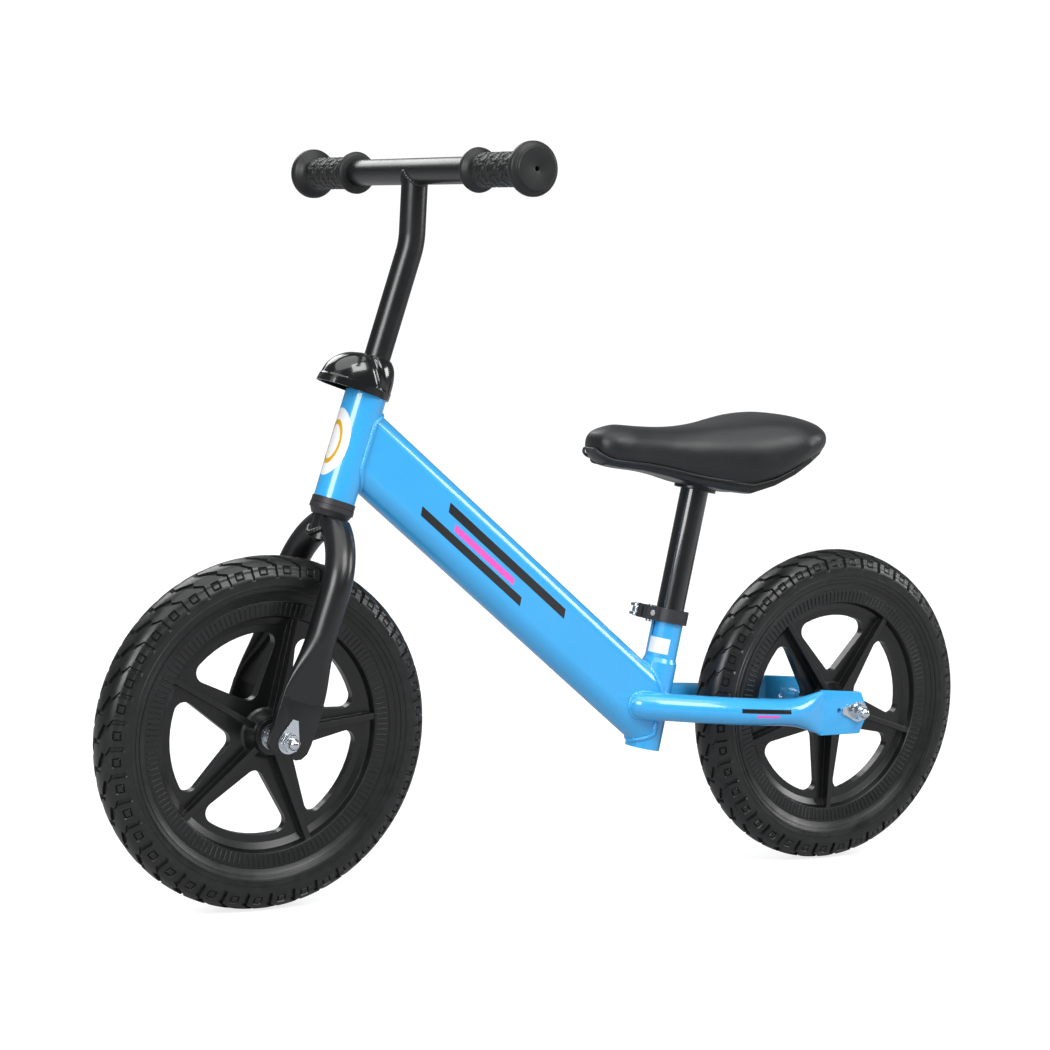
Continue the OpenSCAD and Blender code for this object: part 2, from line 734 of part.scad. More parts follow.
module seat_collar() {
    color("dimgray") seating() difference() {
        union() {
            translate([0, 0, collar_u]) cylinder(d = collar_d, h = collar_h);
            translate([12, -ear_half, collar_u])
                cube([ear_x - 12 + 6, 2 * ear_half, collar_h]);
        }
        translate([0, 0, collar_u - eps]) cylinder(d = seat_tube_d, h = collar_h + 2 * eps);
        translate([8, -collar_slit / 2, collar_u - eps])
            cube([40, collar_slit, collar_h + 2 * eps]);
        translate([ear_x, 30, skewer_u]) rotate([90, 0, 0]) cylinder(d = 5.3, h = 60);
        translate([ear_x, ear_half - 3.4, collar_u - eps])
            cylinder(d = 6.6, h = collar_h + 2 * eps);
    }
}

module collar_barrel_nut() {
    color("silver") seating() difference() {
        translate([ear_x, ear_half - 3.4, collar_u - 2]) cylinder(d = 6.5, h = collar_h + 3);
        translate([ear_x, 30, skewer_u]) rotate([90, 0, 0]) cylinder(d = 5, h = 60);
    }
}

// Rod from the barrel nut to the lever's pivot, with an eye for the pin
module collar_skewer() {
    color("silver") seating() difference() {
        union() {
            translate([ear_x, ear_half, skewer_u]) rotate([90, 0, 0])
                cylinder(d = 5, h = ear_half - lever_y);
            translate([ear_x, lever_y, skewer_u - eye_half]) cylinder(d = 8.6, h = 2 * eye_half);
        }
        translate([ear_x, lever_y, skewer_u - 10]) cylinder(d = 4.1, h = 20);
    }
}

module collar_pivot_pin() {
    head = 0.8;
    color("silver") seating() {
        translate([ear_x, lever_y, skewer_u - lever_half]) cylinder(d = 4, h = 2 * lever_half);
        for (u = [skewer_u - lever_half - head, skewer_u + lever_half])
            translate([ear_x, lever_y, u]) cylinder(d = 6.4, h = head);
    }
}

// Washer that the lever's cam bears on
module cam_washer() {
    color("dimgray") seating() translate([ear_x, -ear_half, skewer_u]) rotate([90, 0, 0])
        difference() {
            cylinder(d = 11.6, h = 2.2);
            translate([0, 0, -eps]) cylinder(d = 5.3, h = 4);
        }
}

// Forked cam lever that lies along the right side of the collar when it is shut
module quick_release_lever() {
    arm = 2.6;
    color("dimgray") seating() difference() {
        union() {
            for (u = [skewer_u - eye_half - 0.3 - arm, skewer_u + eye_half + 0.3]) {
                translate([ear_x, lever_y, u]) cylinder(d = 13, h = arm);
                translate([ear_x - 14, lever_y - 6.5, u]) cube([14, 6, arm]);
            }
            translate([0, 0, skewer_u - eye_half - 0.3 - arm])
                linear_extrude(2 * (eye_half + 0.3 + arm)) polygon([
                    [ear_x - 12, lever_y - 6.5], [ear_x - 12, lever_y - 1.6],
                    [4, lever_y - 2.4], [-14, lever_y - 4.4], [-26, lever_y - 9],
                    [-29, lever_y - 13], [-24, lever_y - 13.5], [-12, lever_y - 9.6],
                    [4, lever_y - 7]]);
        }
        translate([ear_x, lever_y, skewer_u - 20]) cylinder(d = 4.1, h = 40);
    }
}

// Saddle post: a tube whose top is closed and threaded for the saddle's bolt
module seat_post() {
    wall = 1.8;
    top_wall = 10;
    color("dimgray") seating() difference() {
        translate([0, 0, post_bottom_u]) cylinder(d = post_d, h = post_top_u - post_bottom_u);
        translate([0, 0, post_bottom_u - eps])
            cylinder(d = post_d - 2 * wall, h = post_top_u - top_wall - post_bottom_u + eps);
        translate([0, 0, post_top_u - 14]) cylinder(d = saddle_bolt_d, h = 20);
    }
}

// Saddle stations: [x behind the nose, top, lower edge, half width]
saddle_nose_x = front_x - 305.5;
saddle_stations = [
    [0.8, 397, 384, 9],
    [4, 401.5, 378, 17],
    [12, 405, 372, 24],
    [26, 406, 369.5, 28.5],
    [50, 405, 367, 30],
    [76, 404.6, 362, 33],
    [100, 406, 356, 39],
    [124, 409, 351.5, 50],
    [146, 413, 349.5, 60.5],
    [166, 417, 355, 66.6],
    [186, 419.6, 365, 69],
    [204, 420, 375.5, 67],
    [220, 418, 383, 59],
    [232, 412, 389, 44],
    [238.4, 404, 393.5, 24]
];

function saddle_ring(s) = ring([saddle_nose_x - s[0], 0, (s[1] + s[2]) / 2],
    [0, -1, 0], [0, 0, 1], s[3], (s[1] - s[2]) / 2, 0.72, 36);

// How far the pan reaches up into the cushion, and in from the cushion's sides
pan_rise = 13;
pan_inset = 9;

// Hard base under the cushion: it fills the cushion's underside and ends in a socket
module pan_solid() {
    first = 11;        // the pan runs from here behind the nose
    last = 225;        // to here
    wide_part = 150;   // behind this place the cover wraps under its edge
    pan = [for (s = saddle_stations) if (s[0] > first && s[0] < last)
        let (low = s[2] + (s[0] < wide_part ? -0.5 : 1.5), top = s[2] + pan_rise)
        ring([saddle_nose_x - s[0], 0, (low + top) / 2], [0, -1, 0], [0, 0, 1],
             s[3] - pan_inset, (top - low) / 2, 0.5, 36)];
    loft(pan);
    seating() translate([0, 0, post_top_u - 3]) cylinder(d = 38, h = 12);
}

module saddle_pan() {
    color("black") difference() {
        pan_solid();
        seating() translate([0, 0, post_bottom_u])
            cylinder(d = post_d, h = post_top_u - post_bottom_u);
        seating() translate([0, 0, post_top_u - 1]) cylinder(d = saddle_bolt_d, h = 40);
        seating() translate([0, 0, saddle_head_u]) cylinder(d = 16, h = 40);
    }
}

module saddle_cushion() {
    color("dimgray") difference() {
        loft([for (s = saddle_stations) saddle_ring(s)]);
        pan_solid();
        seating() cylinder(d = post_d, h = post_top_u);
    }
}

// Bolt that holds the saddle's base down on the closed top of the post
module saddle_bolt() {
    color("silver") seating() {
        translate([0, 0, post_top_u - 14])
            cylinder(d = saddle_bolt_d, h = saddle_head_u + 14 - post_top_u);
        translate([0, 0, saddle_head_u]) cylinder(d = 13, h = 4, $fn = 6);
    }
}

head_tube();
down_tube();
seat_tube();
left_rear_stay();
right_rear_stay();
upper_headset_cup();
lower_headset_cup();
seat_collar();
collar_barrel_nut();
collar_skewer();
collar_pivot_pin();
cam_washer();
quick_release_lever();
rear_axle();
rear_axle_spacers();
rear_bearing_inner_rings();
rear_tab_washers();
rear_axle_nuts();
steerer_tube();
left_fork_leg();
right_fork_leg();
crown_race();
headset_balls();
adjusting_race();
headset_lock_nut();
stem_clamp();
stem_clamp_bolt();
stem_clamp_nut();
stem_cover();
front_axle();
front_axle_spacers();
front_bearing_inner_rings();
front_tab_washers();
front_axle_nuts();
stem();
handlebar();
left_grip();
right_grip();
front_tyre();
front_rim();
front_bearing_outer_rings();
front_bearing_balls();
rear_tyre();
rear_rim();
rear_bearing_outer_rings();
rear_bearing_balls();
seat_post();
saddle_pan();
saddle_cushion();
saddle_bolt();
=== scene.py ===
"""Visual model of a child's balance bike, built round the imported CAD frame."""
from __future__ import annotations

import json
import logging
import math
from dataclasses import dataclass
from enum import Enum
from typing import Any, Mapping, Sequence

import bmesh
import bpy
import numpy as np
from mathutils import Matrix, Vector

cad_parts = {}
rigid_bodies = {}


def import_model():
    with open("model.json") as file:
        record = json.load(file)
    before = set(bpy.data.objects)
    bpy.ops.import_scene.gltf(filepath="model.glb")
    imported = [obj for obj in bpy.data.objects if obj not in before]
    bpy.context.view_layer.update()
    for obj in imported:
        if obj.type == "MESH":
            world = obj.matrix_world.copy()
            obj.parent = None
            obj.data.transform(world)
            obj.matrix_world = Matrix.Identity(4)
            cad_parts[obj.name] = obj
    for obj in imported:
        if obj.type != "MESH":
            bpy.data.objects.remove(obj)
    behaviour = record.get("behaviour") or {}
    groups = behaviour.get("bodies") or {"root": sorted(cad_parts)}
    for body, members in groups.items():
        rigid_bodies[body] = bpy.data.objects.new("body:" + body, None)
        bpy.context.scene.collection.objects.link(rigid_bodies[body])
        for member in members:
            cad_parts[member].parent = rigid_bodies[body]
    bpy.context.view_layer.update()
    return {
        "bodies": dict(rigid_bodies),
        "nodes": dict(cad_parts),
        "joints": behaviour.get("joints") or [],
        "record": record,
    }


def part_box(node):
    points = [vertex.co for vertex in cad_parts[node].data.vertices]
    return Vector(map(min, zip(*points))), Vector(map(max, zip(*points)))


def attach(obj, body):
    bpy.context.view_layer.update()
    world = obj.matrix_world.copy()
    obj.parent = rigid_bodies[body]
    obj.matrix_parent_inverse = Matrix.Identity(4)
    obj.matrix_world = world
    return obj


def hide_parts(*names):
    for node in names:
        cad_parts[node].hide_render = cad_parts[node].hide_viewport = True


LOG = logging.getLogger("balance_bike")
MM = 0.001
TAU = 2 * math.pi
MERGE_MM = 0.002
FILM_MM = 0.3  # how deep a decal reaches into what it lies on


# ------------------------------------------------------------------ finishes


def linear(code: str) -> tuple[float, float, float, float]:
    """Turn an sRGB hex colour into linear light.

    Args:
        code: Colour as "#rrggbb".

    Returns:
        Red, green, blue and alpha, each from 0 to 1.
    """
    parts = [int(code[i:i + 2], 16) / 255 for i in (1, 3, 5)]
    red, green, blue = (c / 12.92 if c <= 0.04045 else ((c + 0.055) / 1.055) ** 2.4
                        for c in parts)
    return red, green, blue, 1.0


def add_node(tree: bpy.types.NodeTree, kind: str, settings: Mapping[str, Any],
             links: Mapping[str, bpy.types.NodeSocket]) -> bpy.types.Node:
    """Add one node to a tree.

    Args:
        tree: Node tree of a material or of the world.
        kind: Blender's name for the node type.
        settings: Socket values and node properties, by name.
        links: Output sockets to join to this node's inputs, by input name.

    Returns:
        The new node.
    """
    node = tree.nodes.new(kind)
    for key, value in settings.items():
        if key in node.inputs:
            node.inputs[key].default_value = value
        else:
            setattr(node, key, value)
    for key, socket in links.items():
        tree.links.new(socket, node.inputs[key])
    return node


class Grain(Enum):
    """Kinds of fine surface relief."""

    SPECKLE = "sprayed or moulded, an even fine noise"
    PEBBLE = "embossed leather, rounded cells between creases"
    SPANGLE = "plated or cast, flat facets that differ in gloss"
    TURNED = "machined or rolled, fine parallel lines"


@dataclass(frozen=True)
class Finish:
    """One real material with its surface treatment.

    The colour drifts between base and drift in patches of patch_mm, the roughness
    between smooth and rough, and the relief of grain_mm stands relief_mm high.
    edge_mm rounds hard edges for the light, as a mould or a paint film does. glow is
    light the camera alone sees, for a sweep lit from behind.
    """

    name: str
    base: str
    drift: str
    smooth: float
    rough: float
    grain: Grain
    grain_mm: float
    relief_mm: float
    patch_mm: float = 25.0
    metallic: float = 0.0
    ior: float = 1.5
    coat: float = 0.0
    coat_rough: float = 0.05
    sheen: float = 0.0
    edge_mm: float = 0.0
    dust: str = ""
    glow: float = 0.0

    def material(self) -> bpy.types.Material:
        """Give the finish as a Blender material, made once.

        Returns:
            The material.
        """
        found = bpy.data.materials.get(self.name)
        if found:
            return found
        made = bpy.data.materials.new(self.name)
        made.use_nodes = True
        made.diffuse_color = linear(self.base)
        tree = made.node_tree
        tree.nodes.clear()
        place = add_node(tree, "ShaderNodeTexCoord", {}, {})
        patches = add_node(tree, "ShaderNodeTexNoise",
                           {"Scale": 1 / (self.patch_mm * MM), "Detail": 5.0,
                            "Roughness": 0.6}, {"Vector": place.outputs["Object"]})
        colour = add_node(tree, "ShaderNodeMixRGB",
                          {"Color1": linear(self.base), "Color2": linear(self.drift)},
                          {"Fac": patches.outputs["Fac"]}).outputs["Color"]
        height = self._relief(tree, place.outputs["Object"])
        if self.dust:
            colour = self._dusted(tree, place.outputs["Object"], colour)
        gloss = add_node(tree, "ShaderNodeMapRange",
                         {"From Min": 0.3, "From Max": 0.7, "To Min": self.smooth,
                          "To Max": self.rough},
                         {"Value": height if self.grain is Grain.SPANGLE
                          else patches.outputs["Fac"]})
        bump_links = {"Height": height}
        if self.edge_mm:
            bump_links["Normal"] = add_node(
                tree, "ShaderNodeBevel", {"samples": 6, "Radius": self.edge_mm * MM},
                {}).outputs["Normal"]
        bump = add_node(tree, "ShaderNodeBump",
                        {"Strength": 1.0, "Distance": self.relief_mm * MM}, bump_links)
        settings = {"Metallic": self.metallic, "Coat Weight": self.coat,
                    "Coat Roughness": self.coat_rough, "Sheen Weight": self.sheen}
        if not self.metallic:
            settings["IOR"] = self.ior
        links = {"Base Color": colour, "Roughness": gloss.outputs["Result"],
                 "Normal": bump.outputs["Normal"]}
        if self.glow:
            seen = add_node(tree, "ShaderNodeLightPath", {}, {}).outputs["Is Camera Ray"]
            settings["Emission Color"] = linear("#ffffff")
            links["Emission Strength"] = add_node(
                tree, "ShaderNodeMapRange", {"To Min": 0.0, "To Max": self.glow},
                {"Value": seen}).outputs["Result"]
        shader = add_node(tree, "ShaderNodeBsdfPrincipled", settings, links)
        add_node(tree, "ShaderNodeOutputMaterial", {}, {"Surface": shader.outputs["BSDF"]})
        return made

    def _relief(self, tree: bpy.types.NodeTree,
                place: bpy.types.NodeSocket) -> bpy.types.NodeSocket:
        """Make the height pattern of the fine grain.

        Args:
            tree: Node tree of the material.
            place: Socket with the point on the object.

        Returns:
            Socket with the height.
        """
        scale = 1 / (self.grain_mm * MM)
        if self.grain is Grain.PEBBLE:
            return add_node(tree, "ShaderNodeTexVoronoi",
                            {"feature": "DISTANCE_TO_EDGE", "Scale": scale},
                            {"Vector": place}).outputs["Distance"]
        if self.grain is Grain.SPANGLE:
            return add_node(tree, "ShaderNodeTexVoronoi",
                            {"feature": "SMOOTH_F1", "Scale": scale},
                            {"Vector": place}).outputs["Distance"]
        if self.grain is Grain.TURNED:
            return add_node(tree, "ShaderNodeTexWave",
                            {"Scale": scale / 6, "Distortion": 1.2, "Detail": 2.0},
                            {"Vector": place}).outputs["Fac"]
        return add_node(tree, "ShaderNodeTexNoise", {"Scale": scale, "Detail": 3.0},
                        {"Vector": place}).outputs["Fac"]

    def _dusted(self, tree: bpy.types.NodeTree, place: bpy.types.NodeSocket,
                colour: bpy.types.NodeSocket) -> bpy.types.NodeSocket:
        """Lay a broken film of dust and scuffs over the colour.

        Args:
            tree: Node tree of the material.
            place: Socket with the point on the object.
            colour: Socket with the clean colour.

        Returns:
            Socket with the dusted colour.
        """
        film = add_node(tree, "ShaderNodeTexNoise",
                        {"Scale": 1 / (9 * MM), "Detail": 8.0, "Roughness": 0.75},
                        {"Vector": place})
        amount = add_node(tree, "ShaderNodeMapRange",
                          {"From Min": 0.48, "From Max": 0.75, "To Min": 0.0, "To Max": 0.5},
                          {"Value": film.outputs["Fac"]})
        return add_node(tree, "ShaderNodeMixRGB", {"Color2": linear(self.dust)},
                        {"Fac": amount.outputs["Result"], "Color1": colour}).outputs["Color"]


# Gloss enamel, sprayed and baked on steel tube: a deep clean blue under a clear, mirror-like
# skin with the faintest orange peel
SKY_ENAMEL = Finish("sky_blue_enamel", "#3bb2f3", "#32a8ec", 0.26, 0.34, Grain.SPECKLE,
                    2.4, 0.012, patch_mm=60, coat=1.0, coat_rough=0.04, edge_mm=0.5)
# Satin black enamel on fork, stem and bar: soft long highlights that spread a little
SATIN_ENAMEL = Finish("satin_black_enamel", "#0c0d0e", "#131416", 0.3, 0.38, Grain.SPECKLE,
                      1.6, 0.014, patch_mm=40, coat=0.3, coat_rough=0.2, edge_mm=0.4)
# Gloss black enamel on the post: a dark tube with sharp bright lines
GLOSS_ENAMEL = Finish("gloss_black_enamel", "#0c0d0e", "#121415", 0.24, 0.3, Grain.SPECKLE,
                      2.0, 0.01, patch_mm=50, coat=1.0, coat_rough=0.05, edge_mm=0.3)
# Steel blackened in hot oxide and oiled: near-black with a small sharp shine
OXIDE_STEEL = Finish("black_oxide_steel", "#0b0b0d", "#121214", 0.26, 0.36, Grain.SPECKLE,
                     0.7, 0.008, patch_mm=6, coat=0.5, coat_rough=0.08, edge_mm=0.4)
# Bright zinc plate on pressed and forged steel: cool silver, facets of slightly uneven gloss
ZINC_PLATE = Finish("zinc_plated_steel", "#eef1f5", "#ccd5df", 0.12, 0.24, Grain.SPANGLE,
                    1.8, 0.003, patch_mm=3, metallic=1.0, edge_mm=0.3)
# Ground and polished bearing steel: brighter, with fine turned lines
BEARING_STEEL = Finish("ground_bearing_steel", "#d5d7da", "#bfc3c7", 0.1, 0.22, Grain.TURNED,
                       0.35, 0.004, patch_mm=5, metallic=1.0, edge_mm=0.25)
# Glass-filled nylon, moulded: near-black with a dull sheen and rounded mould edges
MOULDED_NYLON = Finish("moulded_black_nylon", "#090a0a", "#101112", 0.28, 0.38,
                       Grain.SPECKLE, 0.5, 0.01, patch_mm=35, coat=0.25,
                       coat_rough=0.18, edge_mm=1.0)
# ABS from a polished mould: deep glossy black
POLISHED_ABS = Finish("polished_black_abs", "#0b0c0d", "#111213", 0.16, 0.22, Grain.SPECKLE,
                      3.0, 0.006, patch_mm=45, coat=0.8, coat_rough=0.05)
# Moulded grip rubber: near-black and matt, with a faint bloom
GRIP_RUBBER = Finish("moulded_grip_rubber", "#0e0f10", "#151617", 0.4, 0.52, Grain.SPECKLE,
                     0.45, 0.02, patch_mm=12, sheen=0.04)
# Closed-cell foam tyre: charcoal skin with a soft shine on its crowns and some dust
FOAM_TYRE = Finish("foam_tyre_skin", "#0f1010", "#191a1a", 0.27, 0.4, Grain.SPECKLE,
                   0.8, 0.022, patch_mm=14, sheen=0.03, dust="#2c2c2c")
# Soft vinyl over foam, embossed with a fine leather grain (about 1.1 mm, coarse enough to show)
SADDLE_VINYL = Finish("embossed_saddle_vinyl", "#121415", "#191b1d", 0.36, 0.46, Grain.PEBBLE,
                      1.1, 0.12, patch_mm=20, sheen=0.06)
# Printed film decals under lacquer: flat ink colours with a gloss skin
INK_BLACK = Finish("black_decal_ink", "#101114", "#16171a", 0.25, 0.3, Grain.SPECKLE,
                   1.5, 0.004, coat=0.8)
INK_PINK = Finish("pink_decal_ink", "#f45ecb", "#ee55c3", 0.25, 0.3, Grain.SPECKLE,
                  1.5, 0.004, coat=0.8)
INK_WHITE = Finish("white_decal_film", "#f7f8fa", "#f0f1f3", 0.25, 0.3, Grain.SPECKLE,
                   1.5, 0.004, coat=0.8)
INK_GOLD = Finish("gold_decal_ink", "#e5b41c", "#d9a210", 0.25, 0.32, Grain.SPECKLE,
                  1.0, 0.004, coat=0.8)
# Seamless paper sweep under the bike, lit from behind so that it reads as white
STUDIO_PAPER = Finish("studio_paper", "#a4a4a5", "#a1a1a3", 0.8, 0.9, Grain.SPECKLE,
                      4.0, 0.02, patch_mm=200, glow=0.78)


# ------------------------------------------------------------------ shapes


@dataclass(frozen=True)
class Axes:
    """A local frame in millimetres: an origin and a forward lean about the Y axis."""

    origin: tuple[float, float, float]
    lean_deg: float = 0.0

    def place(self, points: np.ndarray) -> np.ndarray:
        """Turn local millimetres into row metres.

        Args:
            points: Local points, one a row.

        Returns:
            The same points in the row's frame, in metres.
        """
        lean = math.radians(self.lean_deg)
        forward = np.array([math.cos(lean), 0, math.sin(lean)])
        up = np.array([-math.sin(lean), 0, math.cos(lean)])
        side = np.array([0, 1, 0])
        turned = (np.outer(points[:, 0], forward) + np.outer(points[:, 1], side)
                  + np.outer(points[:, 2], up))
        return (turned + np.array(self.origin)) * MM


class Shape:
    """Points in local millimetres and the faces between them."""

    def __init__(self, points: np.ndarray, faces: Sequence[Sequence[int]]) -> None:
        """Keep the points and faces.

        Args:
            points: One point a row.
            faces: Corner numbers of each face.
        """
        self.points = np.asarray(points, float)
        self.faces = [list(f) for f in faces]

    def mirrored(self) -> "Shape":
        """Give the mirror image across the bike's middle plane."""
        return Shape(self.points * [1, -1, 1], [f[::-1] for f in self.faces])


def ring(centre: Sequence[float], u: Sequence[float], v: Sequence[float], a: float,
         b: float, power: float = 1.0, count: int = 64) -> np.ndarray:
    """Make a closed outline, an ellipse or a rounded rectangle.

    Args:
        centre: Middle of the outline.
        u: Direction of the first half size.
        v: Direction of the second half size.
        a: Half size along u.
        b: Half size along v.
        power: 1 for an ellipse, smaller for a squarer outline.
        count: Number of points.

    Returns:
        The points, one a row.
    """
    turn = np.linspace(0, TAU, count, endpoint=False)
    across = np.sign(np.cos(turn)) * np.abs(np.cos(turn)) ** power
    along = np.sign(np.sin(turn)) * np.abs(np.sin(turn)) ** power
    return np.array(centre) + np.outer(a * across, u) + np.outer(b * along, v)


def bore(radius: float, low: float, high: float) -> Shape:
    """Make a straight round rod up the local Z axis, the shape of a bore.

    Args:
        radius: Radius of the bore.
        low: Height of its lower end.
        high: Height of its upper end.

    Returns:
        The rod.
    """
    return loft([ring([0, 0, z], [1, 0, 0], [0, 1, 0], radius, radius, 1, 48)
                 for z in (low, high)])


def loft(rings: Sequence[np.ndarray], around: bool = False) -> Shape:
    """Skin a list of closed outlines that have the same number of points.

    Args:
        rings: The outlines in order.
        around: True to join the last outline to the first, else both ends are capped.

    Returns:
        The closed shape.
    """
    count, levels = len(rings[0]), len(rings)
    faces = []
    for k in range(levels if around else levels - 1):
        low, high = k * count, ((k + 1) % levels) * count
        faces += [[low + i, low + (i + 1) % count, high + (i + 1) % count, high + i]
                  for i in range(count)]
    if not around:
        faces += [list(range(count))[::-1],
                  list(range((levels - 1) * count, levels * count))]
    return Shape(np.vstack(rings), faces)


def refine(stations: Sequence[Sequence[float]], steps: int) -> np.ndarray:
    """Put a smooth curve through rows of numbers whose first three are a place.

    Args:
        stations: The rows.
        steps: New rows for each gap between two old ones.

    Returns:
        The denser rows.
    """
    rows = np.array(stations, float)
    gaps = np.linalg.norm(np.diff(rows[:, :3], axis=0), axis=1)
    reach = np.concatenate([[0], np.cumsum(gaps)])
    slope = np.gradient(rows, reach, axis=0)
    out = []
    for k, gap in enumerate(gaps):
        for t in np.arange(steps) / steps:
            out.append(rows[k] * (2 * t ** 3 - 3 * t ** 2 + 1)
                       + slope[k] * gap * (t ** 3 - 2 * t ** 2 + t)
                       + rows[k + 1] * (3 * t ** 2 - 2 * t ** 3)
                       + slope[k + 1] * gap * (t ** 3 - t ** 2))
    out.append(rows[-1])
    return np.array(out)


def slab(outline: Sequence[Sequence[float]], near: float, far: float) -> Shape:
    """Make a flat plate from an outline in the XZ plane.

    Args:
        outline: Corners as [x, z].
        near: Y of one face.
        far: Y of the other face.

    Returns:
        The plate.
    """
    flat = np.array(outline, float)
    sides = [np.column_stack([flat[:, 0], np.full(len(flat), y), flat[:, 1]])
             for y in (near, far)]
    return loft(sides)


def bead(path: np.ndarray, radius: float, scallop_mm: float = 2.6) -> Shape:
    """Sweep a weld bead with the ripples of its pool along a closed path.

    Args:
        path: Points of the closed path.
        radius: Mean radius of the bead.
        scallop_mm: Distance from ripple to ripple.

    Returns:
        The bead.
    """
    rings = []
    gaps = np.linalg.norm(np.roll(path, -1, axis=0) - path, axis=1)
    reach = np.concatenate([[0], np.cumsum(gaps)])
    ripples = max(round(reach[-1] / scallop_mm), 3)
    for k, point in enumerate(path):
        ahead = path[(k + 1) % len(path)] - path[k - 1]
        ahead = ahead / np.linalg.norm(ahead)
        side = np.cross(ahead, [0.31, 0.11, 0.94])
        side = side / np.linalg.norm(side)
        phase = (reach[k] / reach[-1] * ripples) % 1
        size = radius * (0.86 + 0.26 * math.sqrt(max(1 - (2 * phase - 1) ** 2, 0)))
        rings.append(ring(point, side, np.cross(ahead, side), size, size, 1, 12))
    return loft(rings, around=True)


def even_path(points: np.ndarray, step: float) -> np.ndarray:
    """Space the points of a closed path evenly.

    Args:
        points: The path.
        step: Wanted distance between points.

    Returns:
        The new points.
    """
    closed = np.vstack([points, points[:1]])
    reach = np.concatenate([[0], np.cumsum(np.linalg.norm(np.diff(closed, axis=0), axis=1))])
    marks = np.linspace(0, reach[-1], int(reach[-1] / step), endpoint=False)
    return np.column_stack([np.interp(marks, reach, closed[:, i]) for i in range(3)])


def on_side(shape: Shape, side: str) -> Shape:
    """Give a left-hand shape as it is, or its mirror image for the right side."""
    return shape.mirrored() if side == "right" else shape


def link(name: str, data: bpy.types.ID) -> bpy.types.Object:
    """Make an object and put it in the scene.

    Args:
        name: Name of the object.
        data: Its mesh, light or camera.

    Returns:
        The object.
    """
    made = bpy.data.objects.new(name, data)
    bpy.context.scene.collection.objects.link(made)
    return made


def closed_mesh(name: str, shape: Shape, axes: Axes, merge_mm: float = 0.0
                ) -> bpy.types.Mesh:
    """Make a mesh whose faces all point outwards.

    Args:
        name: Name of the mesh.
        shape: The shape in local millimetres.
        axes: The local frame.
        merge_mm: Points closer than this become one, 0 to keep all.

    Returns:
        The mesh.
    """
    mesh = bpy.data.meshes.new(name)
    mesh.from_pydata(axes.place(shape.points).tolist(), [], shape.faces)
    work = bmesh.new()
    work.from_mesh(mesh)
    if merge_mm:
        bmesh.ops.remove_doubles(work, verts=work.verts, dist=merge_mm * MM)
    bmesh.ops.recalc_face_normals(work, faces=work.faces)
    work.to_mesh(mesh)
    work.free()
    return mesh


def apply_modifiers(piece: bpy.types.Object) -> None:
    """Turn a piece's modifiers into plain mesh.

    Args:
        piece: The piece.
    """
    graph = bpy.context.evaluated_depsgraph_get()
    done = bpy.data.meshes.new_from_object(piece.evaluated_get(graph))
    piece.modifiers.clear()
    piece.data = done


@dataclass(frozen=True)
class Dress:
    """What a piece rides on, its finish and the material slot of the record."""

    body: str
    slot: str
    finish: Finish


class SubAssembly:
    """A group of pieces that are built and dressed together."""

    title = "sub-assembly"

    def __init__(self, frame: Mapping[str, Any]) -> None:
        """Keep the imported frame.
        """
        self.frame = frame

    def build(self) -> None:
        """Build the pieces; each sub-assembly has its own."""
        raise NotImplementedError

    def piece(self, name: str, shape: Shape, axes: Axes, dress: Dress,
              stands_for: Sequence[str] = (), crease_deg: float = 38.0,
              edge_mm: float = 0.0) -> bpy.types.Object:
        """Make one piece from a shape and dress it.

        Args:
            name: Name of the piece.
            shape: Its shape in local millimetres.
            axes: The local frame.
            dress: Body, slot and finish.
            stands_for: CAD nodes that it replaces.
            crease_deg: Edges sharper than this stay sharp.
            edge_mm: Radius put on sharp edges, 0 for none.

        Returns:
            The new object.
        """
        made = link(name, closed_mesh(name, shape, axes, MERGE_MM))
        if edge_mm:
            rounding = made.modifiers.new("rounded_edges", "BEVEL")
            rounding.width = edge_mm * MM
            rounding.segments = 3
            rounding.limit_method = "ANGLE"
            rounding.angle_limit = math.radians(crease_deg)
            apply_modifiers(made)
        made.data.shade_smooth()
        made.data.set_sharp_from_angle(angle=math.radians(crease_deg))
        return self.dress(made, dress, stands_for)

    def dress(self, made: bpy.types.Object, dress: Dress,
              stands_for: Sequence[str] = ()) -> bpy.types.Object:
        """Give an object its body and finish.

        Args:
            made: The object.
            dress: Body, slot and finish.
            stands_for: CAD nodes that it replaces.

        Returns:
            The same object.
        """
        made.data.materials.clear()
        made.data.materials.append(dress.finish.material())
        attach(made, dress.body)
        if stands_for:
            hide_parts(*stands_for)
        LOG.info("%s: piece %s on %s, %d faces", self.title, made.name, dress.body,
                 len(made.data.polygons))
        return made

    def drill(self, made: bpy.types.Object, tool_shape: Shape, axes: Axes,
              crease_deg: float = 38.0) -> None:
        """Cut a hole through a piece.

        Args:
            made: The piece.
            tool_shape: Shape of the hole in local millimetres.
            axes: The local frame of the hole.
            crease_deg: Edges sharper than this stay sharp.
        """
        tool = link("drill", closed_mesh("drill", tool_shape, axes))
        cut = made.modifiers.new("hole", "BOOLEAN")
        cut.operation = "DIFFERENCE"
        cut.solver = "EXACT"
        cut.object = tool
        apply_modifiers(made)
        made.data.set_sharp_from_angle(angle=math.radians(crease_deg))
        bpy.data.objects.remove(tool)

    def finish_nodes(self, finish: Finish, *nodes: str) -> None:
        """Put a finish on carried-over CAD nodes.

        Args:
            finish: The finish.
            nodes: Names of the nodes.
        """
        for name in nodes:
            node = self.frame["nodes"][name]
            if not node.material_slots:
                node.data.materials.append(finish.material())
            for held in node.material_slots:
                held.material = finish.material()
            LOG.info("%s: CAD node %s in %s", self.title, name, finish.name)


STEERING = Axes((294.752, 0, 147), 15.9)
SEATING = Axes((-85.9, 0, 115.1), 10.0)
ROW = Axes((0, 0, 0))


